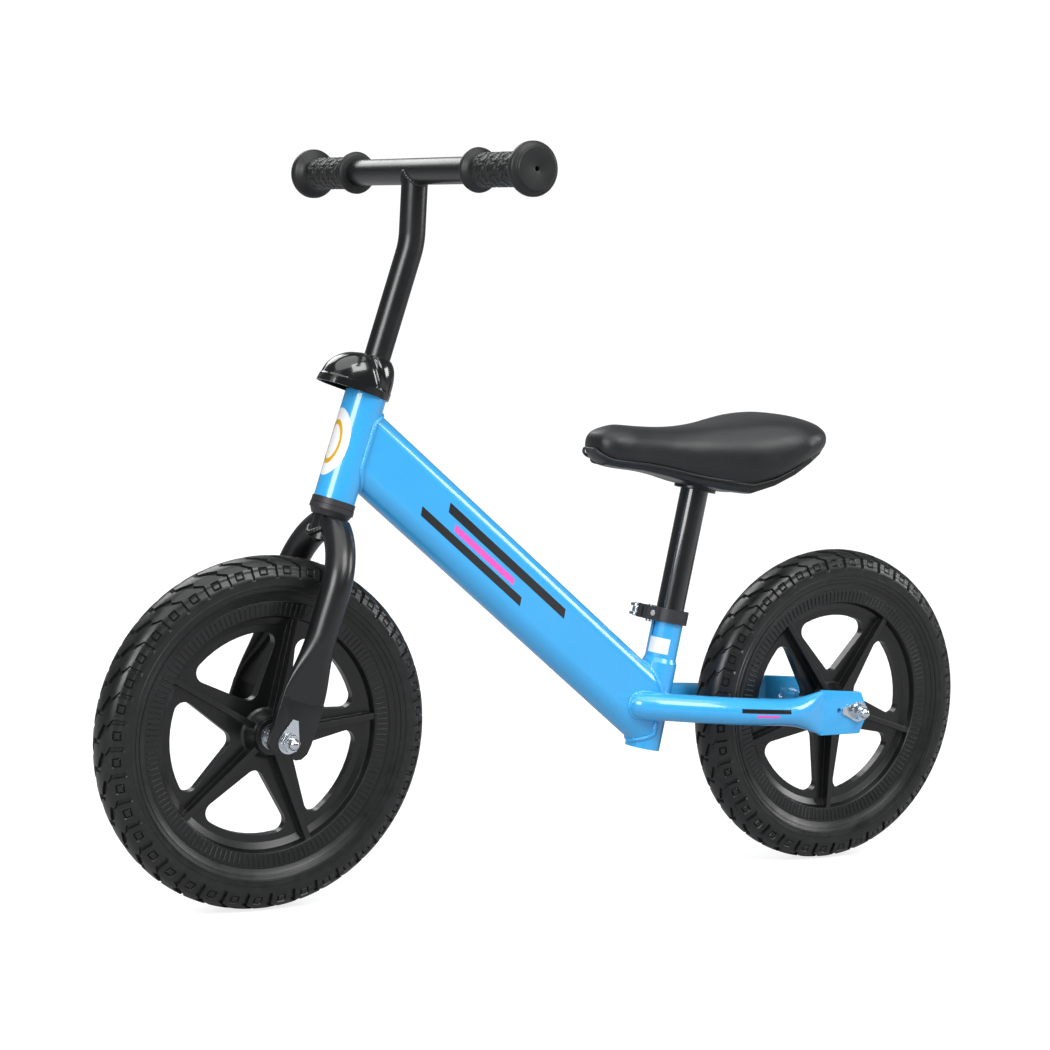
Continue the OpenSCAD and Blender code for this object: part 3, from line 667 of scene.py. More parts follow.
# ------------------------------------------------------------------ frame


class DecalSide(Enum):
    """The two sides of a flat-sided tube."""

    LEFT = 1
    RIGHT = -1


class MainFrame(SubAssembly):
    """Head tube, down tube, seat tube and the two rear stays, all welded."""

    title = "frame"
    head_r = 17.5
    seat_r = 15.9
    down_point = (225.4, 0, 390.3)
    down_dir = (-0.79335, 0, -0.60876)
    down_half = (31.15, 15.8)
    bead_r = 2.1
    stay_r = 12.5
    rear_x = -296.0
    plate_faces = (41.6, 46.6)
    axle_z = 147.0
    eyelet = (rear_x + 22, 148.5, 2.5)
    post_room_r = 14.5
    label = (14.36, (-4, 78), (87, 101))
    # start, stop and lower and upper edge along and across the tube's flat side
    stripes = ((78, 208, 6.0, 13.0, INK_BLACK), (118, 196, -2.0, 3.5, INK_PINK),
               (108, 262, -13.0, -5.5, INK_BLACK))
    slant = 0.55
    decal_proud = 0.06
    badge_s = 246.0
    stay_marks = (("dark_bar", INK_BLACK, (84, 142), (0.02, 0.34)),
                  ("pink_bar", INK_PINK, (98, 126), (-0.30, -0.10)))
    paint = Dress("frame", "frame_paint", SKY_ENAMEL)

    def build(self) -> None:
        """Build stays, welds and decals, and dress the CAD tubes."""
        self.finish_nodes(SKY_ENAMEL, "head_tube", "down_tube", "seat_tube")
        self.finish_nodes(OXIDE_STEEL, "upper_headset_cup", "lower_headset_cup",
                          "seat_collar")
        self.finish_nodes(ZINC_PLATE, "collar_barrel_nut", "collar_skewer",
                          "collar_pivot_pin", "cam_washer", "rear_axle",
                          "rear_tab_washers", "rear_axle_nuts", "rear_axle_spacers",
                          "quick_release_lever")
        self.finish_nodes(BEARING_STEEL, "rear_bearing_inner_rings")
        hole_x, hole_z, hole_r = self.eyelet
        eyelet = loft([ring([hole_x, y, hole_z], [1, 0, 0], [0, 0, 1], hole_r, hole_r, 1, 32)
                       for y in (-60, 60)])
        for side in ("left", "right"):
            tube = self.piece(f"{side}_stay_tube", on_side(self.stay_tube(), side), ROW,
                              self.paint, [f"{side}_rear_stay"], crease_deg=50)
            self.drill(tube, bore(self.post_room_r, -60, 80), SEATING, 50)
            dropout = self.piece(f"{side}_stay_dropout", on_side(self.stay_plate(), side),
                                 ROW, self.paint, edge_mm=0.5)
            self.drill(dropout, eyelet, ROW)
            for name, ink, run, band in self.stay_marks:
                self.piece(f"{side}_stay_{name}", on_side(self.stay_mark(run, band), side),
                           ROW, Dress("frame", "frame_paint", ink))
            self.piece(f"{side}_stay_weld", on_side(self.stay_weld(), side), ROW,
                       self.paint, crease_deg=70)
            self.piece(f"{side}_stay_crease", on_side(self.crease_press(), side), ROW,
                       self.paint, crease_deg=60)
        for name, axes, radius, toward in (("head", STEERING, self.head_r, -1),
                                           ("seat", SEATING, self.seat_r, 1)):
            self.piece(f"{name}_joint_weld", self.tube_joint(axes, radius, toward), ROW,
                       self.paint, crease_deg=70)
        for side in DecalSide:
            self.decals(side)
        self.badge()
        self.piece("seat_tube_label", self.wrapped_label(*self.label), SEATING,
                   Dress("frame", "frame_paint", INK_WHITE))

    def stay_rows(self) -> np.ndarray:
        """Give the smoothed stations of the left stay.

        Returns:
            Rows of x, y, z, half width, half height and squareness.
        """
        r = self.stay_r
        rows = [[234, 9.5, 157.6, 5.5, 6, 1], [231, 12.5, 157.5, 9, 9.6, 1],
                [226, 16.5, 157.3, 11.6, 11.8, 1], [218, 20.6, 156.8, r, r, 1],
                [198, 28, 155.8, r, r, 1], [176, 35.4, 154.6, r, r, 1],
                [156, 40, 153.4, r, r, 1], [136, 42.8, 152.2, r, r, 1],
                [112, 44, 150.8, r, r, 1], [86, 44.1, 149.4, r, r, 1],
                [72, 44.1, 148.7, r - 1.6, r + 0.8, 0.95],
                [58, 44.1, 148.0, r - 5, r + 3.6, 0.85],
                [48, 44.1, 147.5, r - 8, r + 6.2, 0.6],
                [41, 44.1, 147.1, 2.5, r + 8, 0.35], [37, 44.1, 147.0, 2.4, r + 7.8, 0.2]]
        return refine([[self.rear_x + x, *rest] for x, *rest in rows], 6)

    def stay_ring(self, rows: np.ndarray, k: int, grow: float = 0.0,
                  count: int = 72) -> np.ndarray:
        """Make the outline of the stay at one row.

        Args:
            rows: All rows.
            k: Number of the row.
            grow: Millimetres added to both half sizes.
            count: Number of points.

        Returns:
            The outline.
        """
        before, after = rows[max(k - 1, 0)], rows[min(k + 1, len(rows) - 1)]
        dx, dy = after[0] - before[0], after[1] - before[1]
        size = math.hypot(dx, dy)
        x, y, z, wide, high, power = rows[k]
        return ring([x, y, z], [-dy / size, dx / size, 0], [0, 0, 1], wide + grow,
                    high + grow, power, count)

    def stay_tube(self) -> Shape:
        """Make the bent tube of the left stay, squashed flat at its rear end."""
        rows = self.stay_rows()
        return loft([self.stay_ring(rows, k) for k in range(len(rows))])

    def stay_weld(self) -> Shape:
        """Make the bead where the left stay leaves the flat side of the down tube.

        Returns:
            The bead.
        """
        rows = self.stay_rows()
        flank = self.down_half[1]
        upper, lower = [], []
        for k in range(len(rows)):
            outline = self.stay_ring(rows, k, -0.3)
            after = np.roll(outline, -1, axis=0)
            for p, q in zip(outline, after):
                if (p[1] - flank) * (q[1] - flank) < 0:
                    point = p + (q - p) * (flank - p[1]) / (q[1] - p[1])
                    (upper if point[2] > rows[k][2] else lower).append(point)
        return bead(even_path(np.array(upper + lower[::-1]), 0.6), 1.9)

    def stay_plate(self) -> Shape:
        """Make the flat rear end of the left stay with its open axle slot.

        Returns:
            The plate.
        """
        slot_r = 4.2
        arc = [[slot_r * math.sin(t), slot_r * math.cos(t)]
               for t in np.linspace(0, math.pi, 15)]
        outline = [[42, 21.2], [-3, 18.2], [-8.0, slot_r + 4], [-10.9, slot_r], *arc,
                   [-10.9, -slot_r], [-4, -21], [42, -21]]
        return slab([[self.rear_x + x, self.axle_z + z] for x, z in outline],
                    *self.plate_faces)

    def stay_mark(self, run: tuple[float, float], band: tuple[float, float]) -> Shape:
        """Lay a thin printed bar on the outer side of the left stay.

        Args:
            run: Start and end ahead of the rear axle.
            band: Lower and upper edge as angles round the tube.

        Returns:
            The bar.
        """
        rows = self.stay_rows()
        inside = [k for k in range(len(rows))
                  if run[0] <= rows[k][0] - self.rear_x <= run[1]]
        turns = math.pi - np.linspace(*band, 8)
        rings = []
        for k in inside:
            x, y, z, wide, high, _ = rows[k]
            before, after = rows[k - 1], rows[k + 1]
            way = np.array([after[0] - before[0], after[1] - before[1], 0])
            out = np.array([-way[1], way[0], 0]) / np.linalg.norm(way)
            film = [np.array([x, y, z]) + out * (wide + grow) * math.cos(t)
                    + np.array([0, 0, 1]) * (high + grow) * math.sin(t)
                    for grow, marks in ((0.08, turns), (-FILM_MM, turns[::-1]))
                    for t in marks]
            rings.append(np.array(film))
        return loft(rings)

    def crease_press(self) -> Shape:
        """Make the soft raised fold where the stay's tube turns into its flat end.

        Returns:
            The fold.
        """
        x = self.rear_x + 42.5
        count, half_high, half_wide, bow, rise = 22, 18.5, 2.6, 1.1, 0.55
        rings = []
        for t, h in zip(np.linspace(-1, 1, count), np.linspace(-half_high, half_high, count)):
            wide = half_wide * math.sqrt(max(1 - t * t, 0.02))
            rings.append(ring([x - bow * t * t, self.plate_faces[1] - 0.15, self.axle_z + h],
                              [1, 0, 0], [0, 1, 0], wide, rise, 1, 12))
        return loft(rings)

    def tube_joint(self, axes: Axes, radius: float, toward: int) -> Shape:
        """Make the bead where the down tube meets an upright tube.

        Args:
            axes: Frame whose up axis is the upright tube's axis.
            radius: Radius of the upright tube.
            toward: 1 along the down tube's direction, -1 against it.

        Returns:
            The bead.
        """
        along = np.array(self.down_dir)
        up = np.array([-along[2], 0, along[0]]) * -1
        flat = self.down_half[0] - self.down_half[1]
        lean = math.radians(axes.lean_deg)
        axis = np.array([-math.sin(lean), 0, math.cos(lean)])
        points = []
        for t in np.linspace(0, TAU, 240, endpoint=False):
            rise = self.down_half[1] * math.cos(t)
            rise += math.copysign(flat, math.cos(t))
            start = (np.array(self.down_point) + up * rise
                     + np.array([0, 1, 0]) * self.down_half[1] * math.sin(t))
            gap = start - np.array(axes.origin)
            flat_gap = gap - axis * gap.dot(axis)
            flat_way = along - axis * along.dot(axis)
            a, b = flat_way.dot(flat_way), flat_gap.dot(flat_way)
            c = flat_gap.dot(flat_gap) - radius ** 2
            root = math.sqrt(max(b * b - a * c, 0))
            points.append(start + along * ((-b - toward * root) / a))
        return bead(even_path(np.array(points), 0.6), self.bead_r)

    def decals(self, side: DecalSide) -> None:
        """Lay plain slanted stripes on one flat side of the down tube.

        Args:
            side: Side of the bike.
        """
        along = np.array(self.down_dir)
        up = np.array([along[2], 0, -along[0]]) * -1
        y = side.value * (self.down_half[1] + self.decal_proud)
        for number, (start, stop, low, high, ink) in enumerate(self.stripes, 1):
            corners = [(s + self.slant * h, h)
                       for s, h in ((start, low), (stop, low), (stop, high), (start, high))]
            rows = [np.array([np.array(self.down_point) + along * s + up * h + [0, dy, 0]
                              for s, h in corners])
                    for dy in (y, y - side.value * FILM_MM)]
            self.piece(f"down_tube_stripe_{side.name.lower()}_{number}", loft(rows), ROW,
                       Dress("frame", "frame_paint", ink))

    def badge(self) -> None:
        """Lay a plain oval badge with a gold ring on the front of the head tube."""
        layers = (("head_badge", 0.10, 56.0, 29.0, INK_WHITE, 0.0),
                  ("head_badge_ring", 0.22, 33.0, 19.0, INK_GOLD, 0.78))
        for name, proud, wide_deg, high, ink, hole in layers:
            film = self.wrapped_oval(self.head_r + proud, wide_deg, high, self.badge_s, hole)
            self.piece(name, film, STEERING, Dress("frame", "frame_paint", ink))

    def wrapped_label(self, radius: float, turn_deg: tuple[float, float],
                      heights: tuple[float, float]) -> Shape:
        """Wrap a blank rectangular label round an upright tube.

        Args:
            radius: Radius of the label's outer face.
            turn_deg: First and last angle round the tube.
            heights: Lower and upper edge.

        Returns:
            The label.
        """
        turns = np.radians(np.linspace(*turn_deg, 20))
        rings = []
        for z in heights:
            film = [[r * math.cos(t), r * math.sin(t), z]
                    for r, marks in ((radius, turns), (radius - FILM_MM, turns[::-1]))
                    for t in marks]
            rings.append(np.array(film))
        return loft(rings)

    def wrapped_oval(self, radius: float, wide_deg: float, high: float, middle: float,
                     hole: float) -> Shape:
        """Wrap an oval film round an upright tube.

        Args:
            radius: Radius of the film's outer face.
            wide_deg: Half width as an angle round the tube.
            high: Half height.
            middle: Height of the oval's middle.
            hole: Size of the open middle as a share of the oval, 0 for none.

        Returns:
            The film.
        """
        levels = [max(hole, 0.02)] + [hole + (1 - hole) * t for t in np.linspace(0.1, 1, 10)]
        turns = np.linspace(0, TAU, 96, endpoint=False)
        rings = []
        for r, marks in ((radius, levels), (radius - 0.4, levels[::-1])):
            for share in marks:
                angle = np.radians(wide_deg) * share * np.cos(turns)
                rings.append(np.column_stack([r * np.cos(angle), r * np.sin(angle),
                                              middle + high * share * np.sin(turns)]))
        return loft(rings, around=True)


# ------------------------------------------------------------------ fork


class Fork(SubAssembly):
    """Two bent legs that spring from the steerer, and the steering parts."""

    title = "fork"
    leg_r = 12.5
    leg_y = 44.1
    leg_back = -1.6
    bend_r = 60.0
    bend_s = 125.0
    flat_s = 92.0
    plate_s = 34.0
    crown_s = 185.5
    rake = 1.2
    steerer_room_r = 12.6
    flat_half = (19.4, 2.52)
    plate_faces = (41.6, 46.6)
    paint = Dress("fork", "fork_paint", SATIN_ENAMEL)

    def build(self) -> None:
        """Build the legs, their flat ends and the crown weld, and dress the CAD parts."""
        self.finish_nodes(SATIN_ENAMEL, "steerer_tube")
        self.finish_nodes(OXIDE_STEEL, "crown_race", "adjusting_race", "headset_lock_nut",
                          "stem_clamp")
        self.finish_nodes(BEARING_STEEL, "headset_balls", "front_bearing_inner_rings")
        self.finish_nodes(ZINC_PLATE, "stem_clamp_bolt", "stem_clamp_nut", "front_axle",
                          "front_axle_spacers", "front_tab_washers", "front_axle_nuts")
        room = bore(self.steerer_room_r, 120, 240)
        for side in ("left", "right"):
            tube = self.piece(f"{side}_fork_tube", on_side(self.leg_tube(), side), STEERING,
                              self.paint, [f"{side}_fork_leg"], crease_deg=50)
            self.drill(tube, room, STEERING, 50)
            self.piece(f"{side}_fork_dropout", on_side(self.leg_plate(), side), STEERING,
                       self.paint, edge_mm=0.5)
        weld = self.piece("crown_weld", self.crown_weld(), STEERING, self.paint,
                          crease_deg=70)
        self.drill(weld, room, STEERING, 70)

    def leg_tube(self) -> Shape:
        """Make the left leg: an arc from the steerer, a straight run and a squashed end.

        Returns:
            The leg.
        """
        rings = []
        for a in np.radians(np.arange(84, -1, -3)):
            rings.append(ring([self.leg_back,
                               self.leg_y - self.bend_r * (1 - math.cos(a)),
                               self.bend_s + self.bend_r * math.sin(a)], [1, 0, 0],
                              [0, -math.cos(a), -math.sin(a)], self.leg_r, self.leg_r,
                              1, 72))
        for t in np.linspace(0, 1, 25):
            ease = t * t * (3 - 2 * t)
            rings.append(ring([self.leg_back - 0.1 * t, self.leg_y,
                               self.flat_s + (self.plate_s - self.flat_s) * t],
                              [1, 0, 0], [0, -1, 0],
                              self.leg_r + (self.flat_half[0] - self.leg_r) * ease,
                              self.leg_r + (self.flat_half[1] - self.leg_r) * ease,
                              1 - 0.7 * ease * ease, 72))
        rings.append(ring([self.leg_back - 0.1, self.leg_y, self.plate_s - 4],
                          [1, 0, 0], [0, -1, 0], 19, 2.3, 0.3, 72))
        shape = loft(rings)
        shape.points[:, 2] = np.minimum(shape.points[:, 2], self.crown_s - 0.1)
        return shape

    def leg_plate(self) -> Shape:
        """Make the flat lower end of the left leg with its open axle slot.

        Returns:
            The plate.
        """
        slot_r = 4.15
        turn = math.radians(-17)
        arc = [[self.rake + slot_r * math.cos(t + turn), slot_r * math.sin(t + turn)]
               for t in np.linspace(0, math.pi, 15)]
        down = np.array([math.sin(turn), -math.cos(turn)])
        ends = [list(np.array(arc[0]) + down * 10.9), list(np.array(arc[-1]) + down * 8.9)]
        outline = [[-21.1, 36], [-21, 18], [-20.2, 2], [-19, -6], [-15, -11.4],
                   [-10, -13.2], ends[1], *arc[::-1], ends[0], [9, -11], [14.5, -9.6],
                   [17.6, -5], [17.8, 18], [17.7, 36]]
        return slab(outline, *self.plate_faces)

    def crown_weld(self) -> Shape:
        """Make the bead round the steerer's foot.

        Returns:
            The bead.
        """
        turns = np.linspace(0, TAU, 180, endpoint=False)
        path = np.column_stack([13.4 * np.cos(turns), 13.4 * np.sin(turns),
                                168 + 9.5 * np.abs(np.sin(turns)) ** 1.5])
        return bead(even_path(path, 0.6), 2.2)


class StemCover(SubAssembly):
    """Bell-shaped plastic cover of two lobes over the stem's clamp."""

    title = "stem cover"
    rim_s = 291.0
    wall = 1.6
    hole_r = 11.5
    step_h = 6.5
    valley_depth = 2.3
    valley_width = 3.4

    def build(self) -> None:
        """Build the shell."""
        self.piece("bell_cover", self.shell(), STEERING,
                   Dress("fork", "cover_plastic", POLISHED_ABS), ["stem_cover"],
                   crease_deg=48)

    def outline(self, row: np.ndarray, inset: float) -> np.ndarray:
        """Make one outline of the shell.

        Args:
            row: Height, back, front, half width.
            inset: Millimetres inside the outer skin.

        Returns:
            The outline.
        """
        height, back, front, half = row
        points = ring([(back + front) / 2, 0, self.rim_s + height], [1, 0, 0], [0, 1, 0],
                      (front - back) / 2 - inset, half - inset, 0.86, 144)
        line = -8.0 + 0.62 * height
        dent = np.exp(-((points[:, 0] - line) / self.valley_width) ** 2)
        shallow = min(1.0, 0.35 + height / 14)
        points[:, 1] -= (np.sign(points[:, 1]) * dent * self.valley_depth * shallow
                         * np.minimum(np.abs(points[:, 1]) / half * 1.3, 1))
        if height < self.step_h:
            centre = np.array([(back + front) / 2, 0])
            away = points[:, :2] - centre
            points[:, :2] += away / np.linalg.norm(away, axis=1)[:, None] * 0.45
        return points

    def shell(self) -> Shape:
        """Make the thin bell with its hole for the stem.

        Returns:
            The bell.
        """
        rows = [[0, -19, 45.6, 20.6], [8, -19.4, 43.8, 20.4], [15, -19.2, 41.6, 19.6],
                [21, -18.4, 37.6, 18.2], [26, -17, 32, 16.2], [30, -14.6, 24.6, 13.8],
                [32, -12.6, 17, 12.2]]
        heights = [0, 0.6, 3, 6.2, 6.49, 6.8, 8] + list(np.arange(9.5, 31.5, 1.1)) + [32]
        table = np.array(rows)
        spline = refine(np.column_stack([table[:, 0], table[:, 1], table[:, 2],
                                         table[:, 3]]), 8)
        outer = [np.array([h] + [np.interp(h, spline[:, 0], spline[:, i])
                                 for i in (1, 2, 3)]) for h in heights]
        rings = [self.outline(row, 0) for row in outer]
        rings += [ring([0, 0, self.rim_s + h], [1, 0, 0], [0, 1, 0], self.hole_r,
                       self.hole_r, 1, 144) for h in (32.6, 30.9)]
        inner = [self.outline(row - [0 if row[0] < 1 else self.wall * row[0] / 32, 0, 0, 0],
                              self.wall) for row in outer[::-1]]
        return loft(rings + inner, around=True)


# ------------------------------------------------------------------ bar


class Cockpit(SubAssembly):
    """Bent stem, straight bar and two flanged rubber grips."""

    title = "cockpit"
    bar_r = 11.1
    bend_s = 414.0
    bend_r = 70.0
    bottom_s = 232.0
    half_w = 191.0
    grip_l = 91.0

    def build(self) -> None:
        """Build the stem, its weld and the grips."""
        low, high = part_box("handlebar")
        self.bar = (np.array(low) + np.array(high)) / 2 / MM
        paint = Dress("handlebar", "gloss_black_paint", SATIN_ENAMEL)
        self.finish_nodes(SATIN_ENAMEL, "handlebar")
        self.piece("bent_stem", self.stem(), STEERING, paint, ["stem"], crease_deg=50)
        self.piece("bar_weld", self.bar_weld(), ROW, paint, crease_deg=70)
        rubber = Dress("handlebar", "grip_rubber", GRIP_RUBBER)
        grip = self.grip()
        for side, shape in (("left", grip), ("right", grip.mirrored())):
            self.piece(f"{side}_rubber_grip", shape, ROW, rubber, [f"{side}_grip"],
                       crease_deg=40)

    def stem(self) -> Shape:
        """Make the tube of the stem: a straight run, a bend, and an upright end.

        Returns:
            The tube.
        """
        r = self.bar_r
        rings = [ring([0, 0, self.bottom_s], [1, 0, 0], [0, 1, 0], r, r)]
        for a in np.radians(np.linspace(0, STEERING.lean_deg, 12)):
            rings.append(ring([self.bend_r * (1 - math.cos(a)), 0,
                               self.bend_s + self.bend_r * math.sin(a)],
                              [math.cos(a), 0, -math.sin(a)], [0, 1, 0], r, r))
        lean = math.radians(STEERING.lean_deg)
        top = np.array([self.bend_r * (1 - math.cos(lean)), 0,
                        self.bend_s + self.bend_r * math.sin(lean)])
        rise = self.bar[2] - 3 - floor_height(top)
        top = top + rise * np.array([math.sin(lean), 0, math.cos(lean)])
        rings.append(ring(top, [math.cos(lean), 0, -math.sin(lean)], [0, 1, 0], r, r))
        return loft(rings)

    def bar_weld(self) -> Shape:
        """Make the bead where the stem meets the bar from below.

        Returns:
            The bead.
        """
        turns = np.linspace(0, TAU, 200, endpoint=False)
        r = self.bar_r
        path = np.column_stack([self.bar[0] + r * np.cos(turns), r * np.sin(turns),
                                self.bar[2] - r * np.abs(np.sin(turns)) - 0.3])
        return bead(even_path(path, 0.5), 1.5, 2.2)

    def grip(self) -> Shape:
        """Turn the left grip about the bar's axis, with raised pads along its barrel.

        Returns:
            The grip.
        """
        z1, z0 = self.half_w, self.half_w - self.grip_l
        half = [[11.2, z0], [15.2, z0], [16.6, z0 + 0.4], [17.6, z0 + 1.4], [18.2, z0 + 3.2],
                [18.0, z0 + 4.6], [17.2, z0 + 5.8], [15.4, z0 + 7.4], [13.9, z0 + 9],
                [13.2, z0 + 11], [13, z0 + 13]]
        half += [[13, y] for y in np.arange(z0 + 15, z1 - 20, 1.0)]
        half += [[13, z1 - 20], [13.5, z1 - 17.6], [14.6, z1 - 15.3], [17, z1 - 13],
                 [19.4, z1 - 11.6], [20.9, z1 - 10], [21.6, z1 - 8], [21.6, z1 - 5.4],
                 [21.2, z1 - 4.2], [20.2, z1 - 3.3], [17.8, z1 - 2.7], [17.4, z1 - 2.2],
                 [17.2, z1 - 0.8], [16.4, z1], [3, z1], [2, z1 - 0.4], [2, z1 - 3.4],
                 [11.2, z1 - 3.8]]
        turns = np.linspace(0, TAU, 120, endpoint=False)
        rings = []
        for r, y in half:
            swell = np.zeros_like(turns)
            if z0 + 14 < y < z1 - 21 and r == 13:
                row, place = divmod((y - z0 - 14) / 9.0, 1)
                across = np.abs(((turns / TAU * 9 + row / 2) % 1) - 0.5) * 2
                cell = abs(place - 0.5) * 2
                lump = 1 - (across ** 2 + cell ** 2)
                swell = 1.0 * np.clip(3.2 * lump, 0, 1) - 0.5 * np.clip(
                    4.0 * (lump - 0.62), 0, 1)
            size = r + swell
            rings.append(np.column_stack([self.bar[0] + size * np.cos(turns),
                                          np.full_like(turns, y),
                                          self.bar[2] + size * np.sin(turns)]))
        return loft(rings, around=True)


def floor_height(point: np.ndarray) -> float:
    """Give the height above the floor, in millimetres, of a point of the steering frame."""
    return float(STEERING.place(point[None, :])[0, 2] / MM)


# ------------------------------------------------------------------ wheels


class Wheel(SubAssembly):
    """Moulded five-spoke rim with a solid foam tyre that has a cut tread."""

    title = "wheel"
    pitches = 40
    groove_mm = 2.8
    chamfer_mm = 0.9
    depth_mm = 2.3
    square_depth_mm = 1.2
    tread_half_mm = 29.5
    ribs = 144

    def __init__(self, frame: Mapping[str, Any], end: str) -> None:
        """Keep the frame and the end of the bike.

        Args:
            end: "front" or "rear".
        """
        super().__init__(frame)
        self.end = end
        self.title = f"{end} wheel"
        low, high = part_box(f"{end}_tyre")
        middle = (np.array(low) + np.array(high)) / 2 / MM
        self.radius = (high[2] - low[2]) / 2 / MM
        self.axes = Axes((float(middle[0]), 0.0, float(middle[2])))

    def build(self) -> None:
        """Build the tyre and the rim's serrations, and dress the CAD parts."""
        body = f"{self.end}_wheel"
        self.piece(f"{self.end}_foam_tyre", self.tyre(), self.axes,
                   Dress(body, "tyre_foam", FOAM_TYRE), [f"{self.end}_tyre"],
                   crease_deg=30)
        self.piece(f"{self.end}_rim_serrations", self.serrations(), self.axes,
                   Dress(body, "black_plastic", MOULDED_NYLON), crease_deg=30)
        self.finish_nodes(MOULDED_NYLON, f"{self.end}_rim")
        self.finish_nodes(BEARING_STEEL, f"{self.end}_bearing_outer_rings",
                          f"{self.end}_bearing_balls")

    def section(self) -> np.ndarray:
        """Give the tyre's crown outline, from the middle to the left shoulder.

        Returns:
            Rows of radius, half width, arc length.
        """
        arc = [[self.radius - 10 + 10 * math.cos(t), 17.6 * math.sin(t)]
               for t in np.linspace(0, math.pi / 2, 60)]
        rows = np.array(arc + [[135.6, 18.5], [134, 19.5], [132, 20.2], [130, 20.5],
                               [127.5, 20.4], [125.6, 20.0]])
        reach = np.concatenate([[0], np.cumsum(np.linalg.norm(np.diff(rows, axis=0),
                                                              axis=1))])
        return np.column_stack([rows, reach])

    def tyre(self) -> Shape:
        """Make the tyre with its zig-zag grooves, shoulder squares and sidewall ridges.

        Returns:
            The tyre.
        """
        table = self.section()
        pitch = TAU * self.radius / self.pitches
        across = [0, 0.08, 0.16, 0.32, 0.42, 0.5, 0.58, 0.63, 0.66, 0.69, 0.735, 0.78,
                  0.825, 0.855, 0.885, 0.92, 0.96, 1.0]
        across = [-v for v in across[:0:-1]] + across
        inner = [0.0, 0.16, 0.27, 0.32, 0.37, 0.5, 0.63, 0.68, 0.73, 0.84, 1.0]
        lines = [self.tread_line(table, v, inner, pitch) for v in across]
        wall = [[125.2, 20.0], [124.9, 20.4], [124.2, 20.2], [123.9, 19.6], [121, 18.8],
                [120.7, 19.2], [119.9, 18.9], [119.7, 18.2], [117, 17.0], [116.8, 17.4],
                [116, 17.0], [115.8, 16.4], [114, 15.4], [111.2, 14.3], [111, 12.2],
                [106.2, 12.0]]
        left = [self.wall_line(r, y, 1.0, inner, pitch) for r, y in wall]
        right = [self.wall_line(r, -y, -1.0, inner, pitch) for r, y in wall]
        return loft([*right[::-1], *lines, *left], around=True)

    def shift(self, v: float) -> float:
        """Give the zig-zag's run along the tread, in pitches, at v across it."""
        return math.copysign(float(np.interp(abs(v), [0, 0.12, 0.33, 0.46, 0.58, 1],
                                             [0, 0, 0.5, 0.5, 0.8, 0.8])), v)

    def columns(self, v: float, inner: Sequence[float], pitch: float) -> np.ndarray:
        """Give the angles of all columns of the tread at v across it.

        Args:
            v: Place across the tread, -1 to 1.
            inner: Places of the columns inside one block, 0 to 1.
            pitch: Length of one block and groove, in millimetres.

        Returns:
            The angles in radians.
        """
        wide = self.groove_mm / 2 * float(np.interp(abs(v), [0, 0.12, 0.16, 0.32, 0.36, 1],
                                                    [1, 1, 3.0, 3.0, 1, 0.9]))
        edge = wide + self.chamfer_mm
        local = [-edge, -wide, wide] + [edge + (pitch - 2 * edge) * u for u in inner[:-1]]
        start = self.shift(v) * pitch
        every = [k * pitch + start + x for k in range(self.pitches) for x in local]
        return np.array(every) / self.radius

    def tread_line(self, table: np.ndarray, v: float, inner: Sequence[float],
                   pitch: float) -> np.ndarray:
        """Make one line of points round the tyre on its tread.

        Args:
            table: The crown's outline.
            v: Place across the tread, -1 to 1.
            inner: Places of the columns inside one block.
            pitch: Length of one block and groove.

        Returns:
            The points.
        """
        reach = abs(v) * self.tread_half_mm
        r = np.interp(reach, table[:, 2], table[:, 0])
        y = np.interp(reach, table[:, 2], table[:, 1])
        ahead = [np.interp(reach + 0.4, table[:, 2], table[:, i]) for i in (0, 1)]
        behind = [np.interp(max(reach - 0.4, 0), table[:, 2], table[:, i]) for i in (0, 1)]
        along = np.array(ahead) - np.array(behind)
        if reach < 0.4:
            along = np.array([0.0, 1.0])
        along = along / np.linalg.norm(along)
        fade = min(1.0, (1 - abs(v)) * 12)  # the grooves run out at the shoulder
        depth = [0, self.depth_mm * fade, self.depth_mm * fade]
        near_square = 0.655 < abs(v) < 0.865
        for u in inner[:-1]:
            on_side = near_square and u in (0.32, 0.68)
            on_end = abs(v) in (0.66, 0.855) and 0.3 < u < 0.7
            depth.append(self.square_depth_mm if on_side or on_end else 0.0)
        sink = np.array(depth * self.pitches)
        angle = self.columns(v, inner, pitch)
        radius = r - sink * along[1]
        side = (y + sink * along[0]) * (1 if v >= 0 else -1)
        return np.column_stack([radius * np.cos(angle), side, radius * np.sin(angle)])

    def wall_line(self, r: float, y: float, v: float, inner: Sequence[float],
                  pitch: float) -> np.ndarray:
        """Make one plain line of points round the tyre's side.

        Args:
            r: Radius of the line.
            y: Its place across the wheel.
            v: Place across the tread that its columns follow.
            inner: Places of the columns inside one block.
            pitch: Length of one block and groove.

        Returns:
            The points.
        """
        angle = self.columns(v, inner, pitch)
        return np.column_stack([r * np.cos(angle), np.full_like(angle, y),
                                r * np.sin(angle)])

